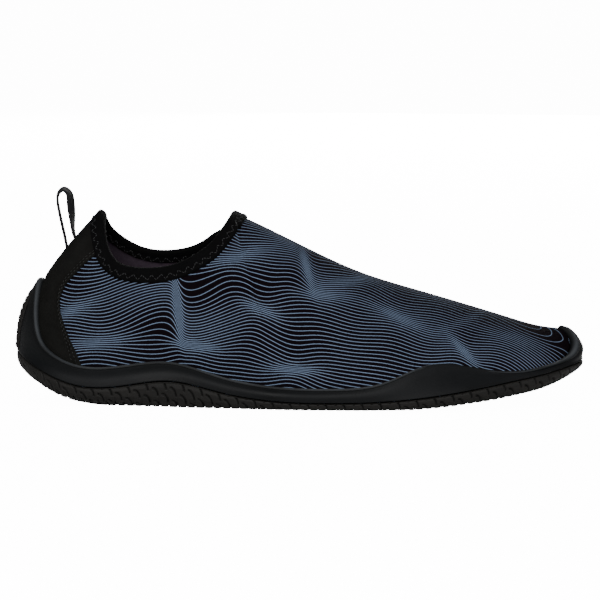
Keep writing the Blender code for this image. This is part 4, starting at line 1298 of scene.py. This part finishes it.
def clawGrooves(along, down):
    # curved grooves in slanting chains on the outsole's side; along and down in mm
    stepAlong, stepDown = outsole["clawStep"]
    wide, tall = outsole["clawSize"]
    total = np.zeros(np.broadcast(along, down).shape)
    for j in range(-2, 6):
        dx = np.mod(along - stepAlong * j, outsole["chainPitch"])
        dy = down - stepDown * j + outsole["clawRise"]
        radius = np.sqrt((dx / wide) ** 2 + ((dy - tall) / tall) ** 2)
        away = np.abs(radius - 1) * (wide + tall) / 2
        here = (np.clip((tall - dy) / 0.5, 0, 1)
                * np.clip((dy + outsole["clawRise"]) / 0.4, 0, 1))
        total = np.maximum(total, np.exp(-(away / outsole["clawWidth"]) ** 2) * here)
    return total


def buildOutsoleSide():
    w = np.linspace(0, 2, outsole["columns"])
    edge = level("edge", w)
    rim = level("groove", w) - shoe["groove"] / 2
    run = walked(outline(w, 0.0, 0 * w))
    fromHeel = np.minimum(run, run[-1] - run)
    teeth = round(run[-1] / 2 / outsole["toothPitch"])
    cut = toothCut(fromHeel / (run[-1] / 2) * teeth * outsole["toothPitch"])
    side = rim - edge
    rows = [outline(w, inset, rim - drop) for inset, drop in outsole["rimRows"]]
    grooveShade = [0 * w] * len(rows)
    for share in np.linspace(0.03, 0.90, outsole["rows"]):
        down = side * share
        inset = np.interp(share, outsole["sideShares"], outsole["sideInsets"])
        groove = clawGrooves(fromHeel / millimetre, down / millimetre)
        groove = groove * min(1, share / 0.08) * min(1, (1.02 - share) / 0.12)
        low = max(0.0, (share - outsole["toothFrom"]) / (1 - outsole["toothFrom"]))
        relief = groove * outsole["clawDepth"]
        rows.append(outline(w, inset + relief + cut * 0.8 * low, rim - down + cut * 0.3 * low))
        grooveShade.append(groove)
    for inset, cutIn, share, rise, cutUp in outsole["edgeRows"]:
        rows.append(outline(w, inset + cut * cutIn, rim - side * share + rise + cut * cutUp))
        grooveShade.append(0 * w)
    # the groove mark darkens the claw grooves in the rubber's colour: painted shade
    gridPiece("outsole_side", np.stack(rows, axis=1), "treadRubber", "outsole", "tread_rubber",
              {"groove": np.stack(grooveShade, axis=1)})


def buildOutsoleTread():
    # underside between the two edges, with wavy ribs
    around = np.linspace(0, 1, 1200)

    def sideTeeth(w):
        run = walked(outline(w, 0.0, 0 * w))
        teeth = round(run[-1] / outsole["toothPitch"])
        return toothCut(run / run[-1] * teeth * outsole["toothPitch"])

    outerTeeth, innerTeeth = sideTeeth(around), sideTeeth(2 - around)

    def under(u, q):
        outer = outline(u, outsole["treadInset"], 0 * u)
        inner = outline(2 - u, outsole["treadInset"], 0 * u)
        place = outer * (1 - q)[:, None] + inner * q[:, None]
        inset = np.minimum(q, 1 - q) * np.linalg.norm(inner - outer, axis=1)
        edge = level("edge", u) * (1 - q) + level("edge", 2 - u) * q
        x, y = place[:, 0], place[:, 1]
        ground = groundHeight(x)
        lift = np.maximum(edge - ground, 0) * np.interp(inset, *outsole["treadLift"])
        wavy = x + outsole["waveReach"] * np.sin(2 * math.pi * y / outsole["waveLength"])
        count = wavy / outsole["waveRibPitch"]
        wide, slope = outsole["ribShape"]
        rib = np.clip((wide - np.abs(np.mod(count, 1) - 0.5)) / slope, 0, 1)
        crossing = np.mod(y / outsole["crossPitch"] + 0.5 * np.floor(count), 1)
        wide, slope = outsole["crossShape"]
        rib *= np.clip((np.abs(crossing - 0.5) - wide) / slope, 0, 1)
        cut = np.where(q < 0.5, np.interp(u, around, outerTeeth),
                       np.interp(u, around, innerTeeth))
        reach, fade = outsole["toothBand"]
        border = np.clip((reach - inset) / fade, 0, 1)
        groove = (1 - rib) * outsole["waveRibDepth"] * (1 - border) + cut * border
        place[:, 2] = ground + lift + groove
        return place

    points = gridPoints(np.linspace(0.004, 0.996, 700), np.linspace(0, 1, 120), under)
    gridPiece("outsole_tread", points[:, ::-1], "treadRubber", "outsole", "tread_rubber",
              sharpAngle=35)


# The toothed strip that climbs the rand behind the heel
heelStrip = {
    "width": 0.0150,
    "lift": 0.00008,  # gap to the rand
    "base": 0.0001,
    "tooth": 0.0008,
    "pitch": 0.0031,
    "toothShape": (0.14, 0.78, 0.12),  # its slope, end and back slope, shares of the pitch
    "bow": 0.22,  # share of a tooth by which its ends lag
    "taper": 0.35,  # share of the width lost at the top
    "bottom": 0.045,  # shares of the rand's height there
    "top": 0.86,
    "thickness": 0.0003,
}


def buildHeelStrip(randFace):
    bottom, top = heelStrip["bottom"], heelStrip["top"]
    half = heelStrip["width"] / 2 / sideLength
    height = (shoe["cupHeight"] - shoe["sideHeight"]) * (top - bottom)
    teeth = round(height / heelStrip["pitch"])
    count = len(randFace)
    behind = np.roll(randFace, count // 2, axis=0)

    def face(side, share):
        place = (share - bottom) / (top - bottom)
        taper = 1 - heelStrip["taper"] * np.clip((place - 0.5) / 0.5, 0, 1) ** 2
        column = count // 2 + side * half * taper / 2 * count
        row = np.interp(share, rand["rowShares"], np.arange(len(rand["rowShares"])))
        base, normal = onGrid(behind, column, row)
        part = np.mod(place * teeth + heelStrip["bow"] * side ** 2, 1)
        slope, end, backSlope = heelStrip["toothShape"]
        tall = np.clip(np.minimum(part / slope, (end - part) / backSlope), 0, 1)
        rounded = np.clip((1 - np.abs(side)) / 0.14, 0, 1) ** 0.5
        ends = np.clip(np.minimum(place / 0.03, (1 - place) / 0.30), 0, 1) ** 0.5
        raised = (heelStrip["base"] + heelStrip["tooth"] * tall) * rounded * ends
        return base + normal * (heelStrip["lift"] + raised)[:, None]

    points = gridPoints(np.linspace(-1, 1, 49), np.linspace(bottom, top, 200), face)
    piece = gridPiece("heel_strip", points, "treadRubber", "heel_tread", "tread_rubber",
                      sharpAngle=40)
    thicken(piece, heelStrip["thickness"])


# The footbed inside
footbed = {
    "thickness": 0.0028,
    "play": 0.0009,  # gap to the upper
    "rounding": 0.0009,  # how far its edges drop
    "sheet": 0.8,  # share of its thickness that is modelled
}


def buildFootbed():
    def topFace(u, q):
        outer, inner = (
            offSkin(w, atHeight(w, level("bed", w) + footbed["thickness"]),
                    0 * w - shoe["upperWall"] - footbed["play"]) for w in (u, 2 - u))
        place = outer * (1 - q)[:, None] + inner * q[:, None]
        rounded = np.clip(np.minimum(q, 1 - q) / 0.03, 0, 1) ** 0.5
        place[:, 2] -= (1 - rounded) * footbed["rounding"]
        return place

    points = gridPoints(np.linspace(0.006, 0.994, 220), np.linspace(0, 1, 70), topFace)
    piece = gridPiece("footbed", points[::-1, ::-1], "footbedCloth", "insole", "insole_foam")
    thicken(piece, footbed["thickness"] * footbed["sheet"])


clothPoints = buildUpper()
buildZigzag(buildBand(clothPoints))
buildHeelPanel()
buildPullLoop()
randFace = buildRand()
buildOutsoleSide()
buildOutsoleTread()
buildHeelStrip(randFace)
buildFootbed()
print("shoe pieces made")


# Floor, light and camera
studio = {
    "floorSize": 60.0,
    "floorColor": (0.80, 0.80, 0.80),
    "floorGlow": 14.0,  # how white the floor is in the picture
    "world": (1.0, 1.0, 1.0),
    "worldStrength": 0.27,
    # name, place, size, watts
    "lamps": (
        ("keyLight", (-0.45, -1.8, 0.95), 1.4, 47.0),
        ("topLight", (0.1, 0.0, 1.7), 1.6, 6.0),
        ("fillLight", (1.1, -1.0, 0.6), 1.2, 10.0),
        ("backLight", (0.3, 1.9, 0.60), 1.4, 30.0),
    ),
    "elevation": 6.0,  # degrees of the camera over the floor
    "distance": 2.4,
    "viewWidth": 0.2946,  # what the picture spans at the shoe, in metres
    "viewCentre": (0.1404, 0.0, 0.0499),
}


def aim(thing, direction):
    # turns a lamp or camera to look along a direction
    thing.rotation_mode = "QUATERNION"
    thing.rotation_quaternion = direction.to_track_quat("-Z", "Y")


def buildStudio():
    bm = bmesh.new()
    bmesh.ops.create_grid(bm, x_segments=1, y_segments=1, size=studio["floorSize"] / 2)
    mesh = bpy.data.meshes.new("floor")
    bm.to_mesh(mesh)
    bm.free()
    floor = addObject("floor", mesh)
    material, tree, shader = newMaterial("paleFloor", 0.1)
    shader["Roughness"].default_value = 0.9
    shader["Base Color"].default_value = (*studio["floorColor"], 1)
    shader["Emission Color"].default_value = (1, 1, 1, 1)
    seen = newNode(tree, "ShaderNodeLightPath", {}).outputs["Is Camera Ray"]
    feed(tree, shader["Emission Strength"],
         calculate(tree, "MULTIPLY", seen, studio["floorGlow"]))
    mesh.materials.append(material)
    for name, place, size, watts in studio["lamps"]:
        data = bpy.data.lights.new(name, "AREA")
        data.shape = "DISK"
        data.size = size
        data.energy = watts
        lamp = addObject(name, data)
        lamp.location = place
        aim(lamp, -Vector(place))
    world = bpy.data.worlds.new("studioWorld")
    world.use_nodes = True
    background = world.node_tree.nodes["Background"]
    background.inputs["Color"].default_value = (*studio["world"], 1)
    background.inputs["Strength"].default_value = studio["worldStrength"]
    bpy.context.scene.world = world
    camera = bpy.data.cameras.new("camera")
    camera.sensor_width = 36
    camera.lens = camera.sensor_width * studio["distance"] / studio["viewWidth"]
    camera.clip_end = 50
    eye = addObject("camera", camera)
    tilt = math.radians(studio["elevation"])
    back = Vector((0, -math.cos(tilt), math.sin(tilt)))
    eye.location = Vector(np.array(studio["viewCentre"]) + shift) + back * studio["distance"]
    aim(eye, -back)
    bpy.context.scene.camera = eye


buildStudio()
print("studio made")

bpy.context.view_layer.update()
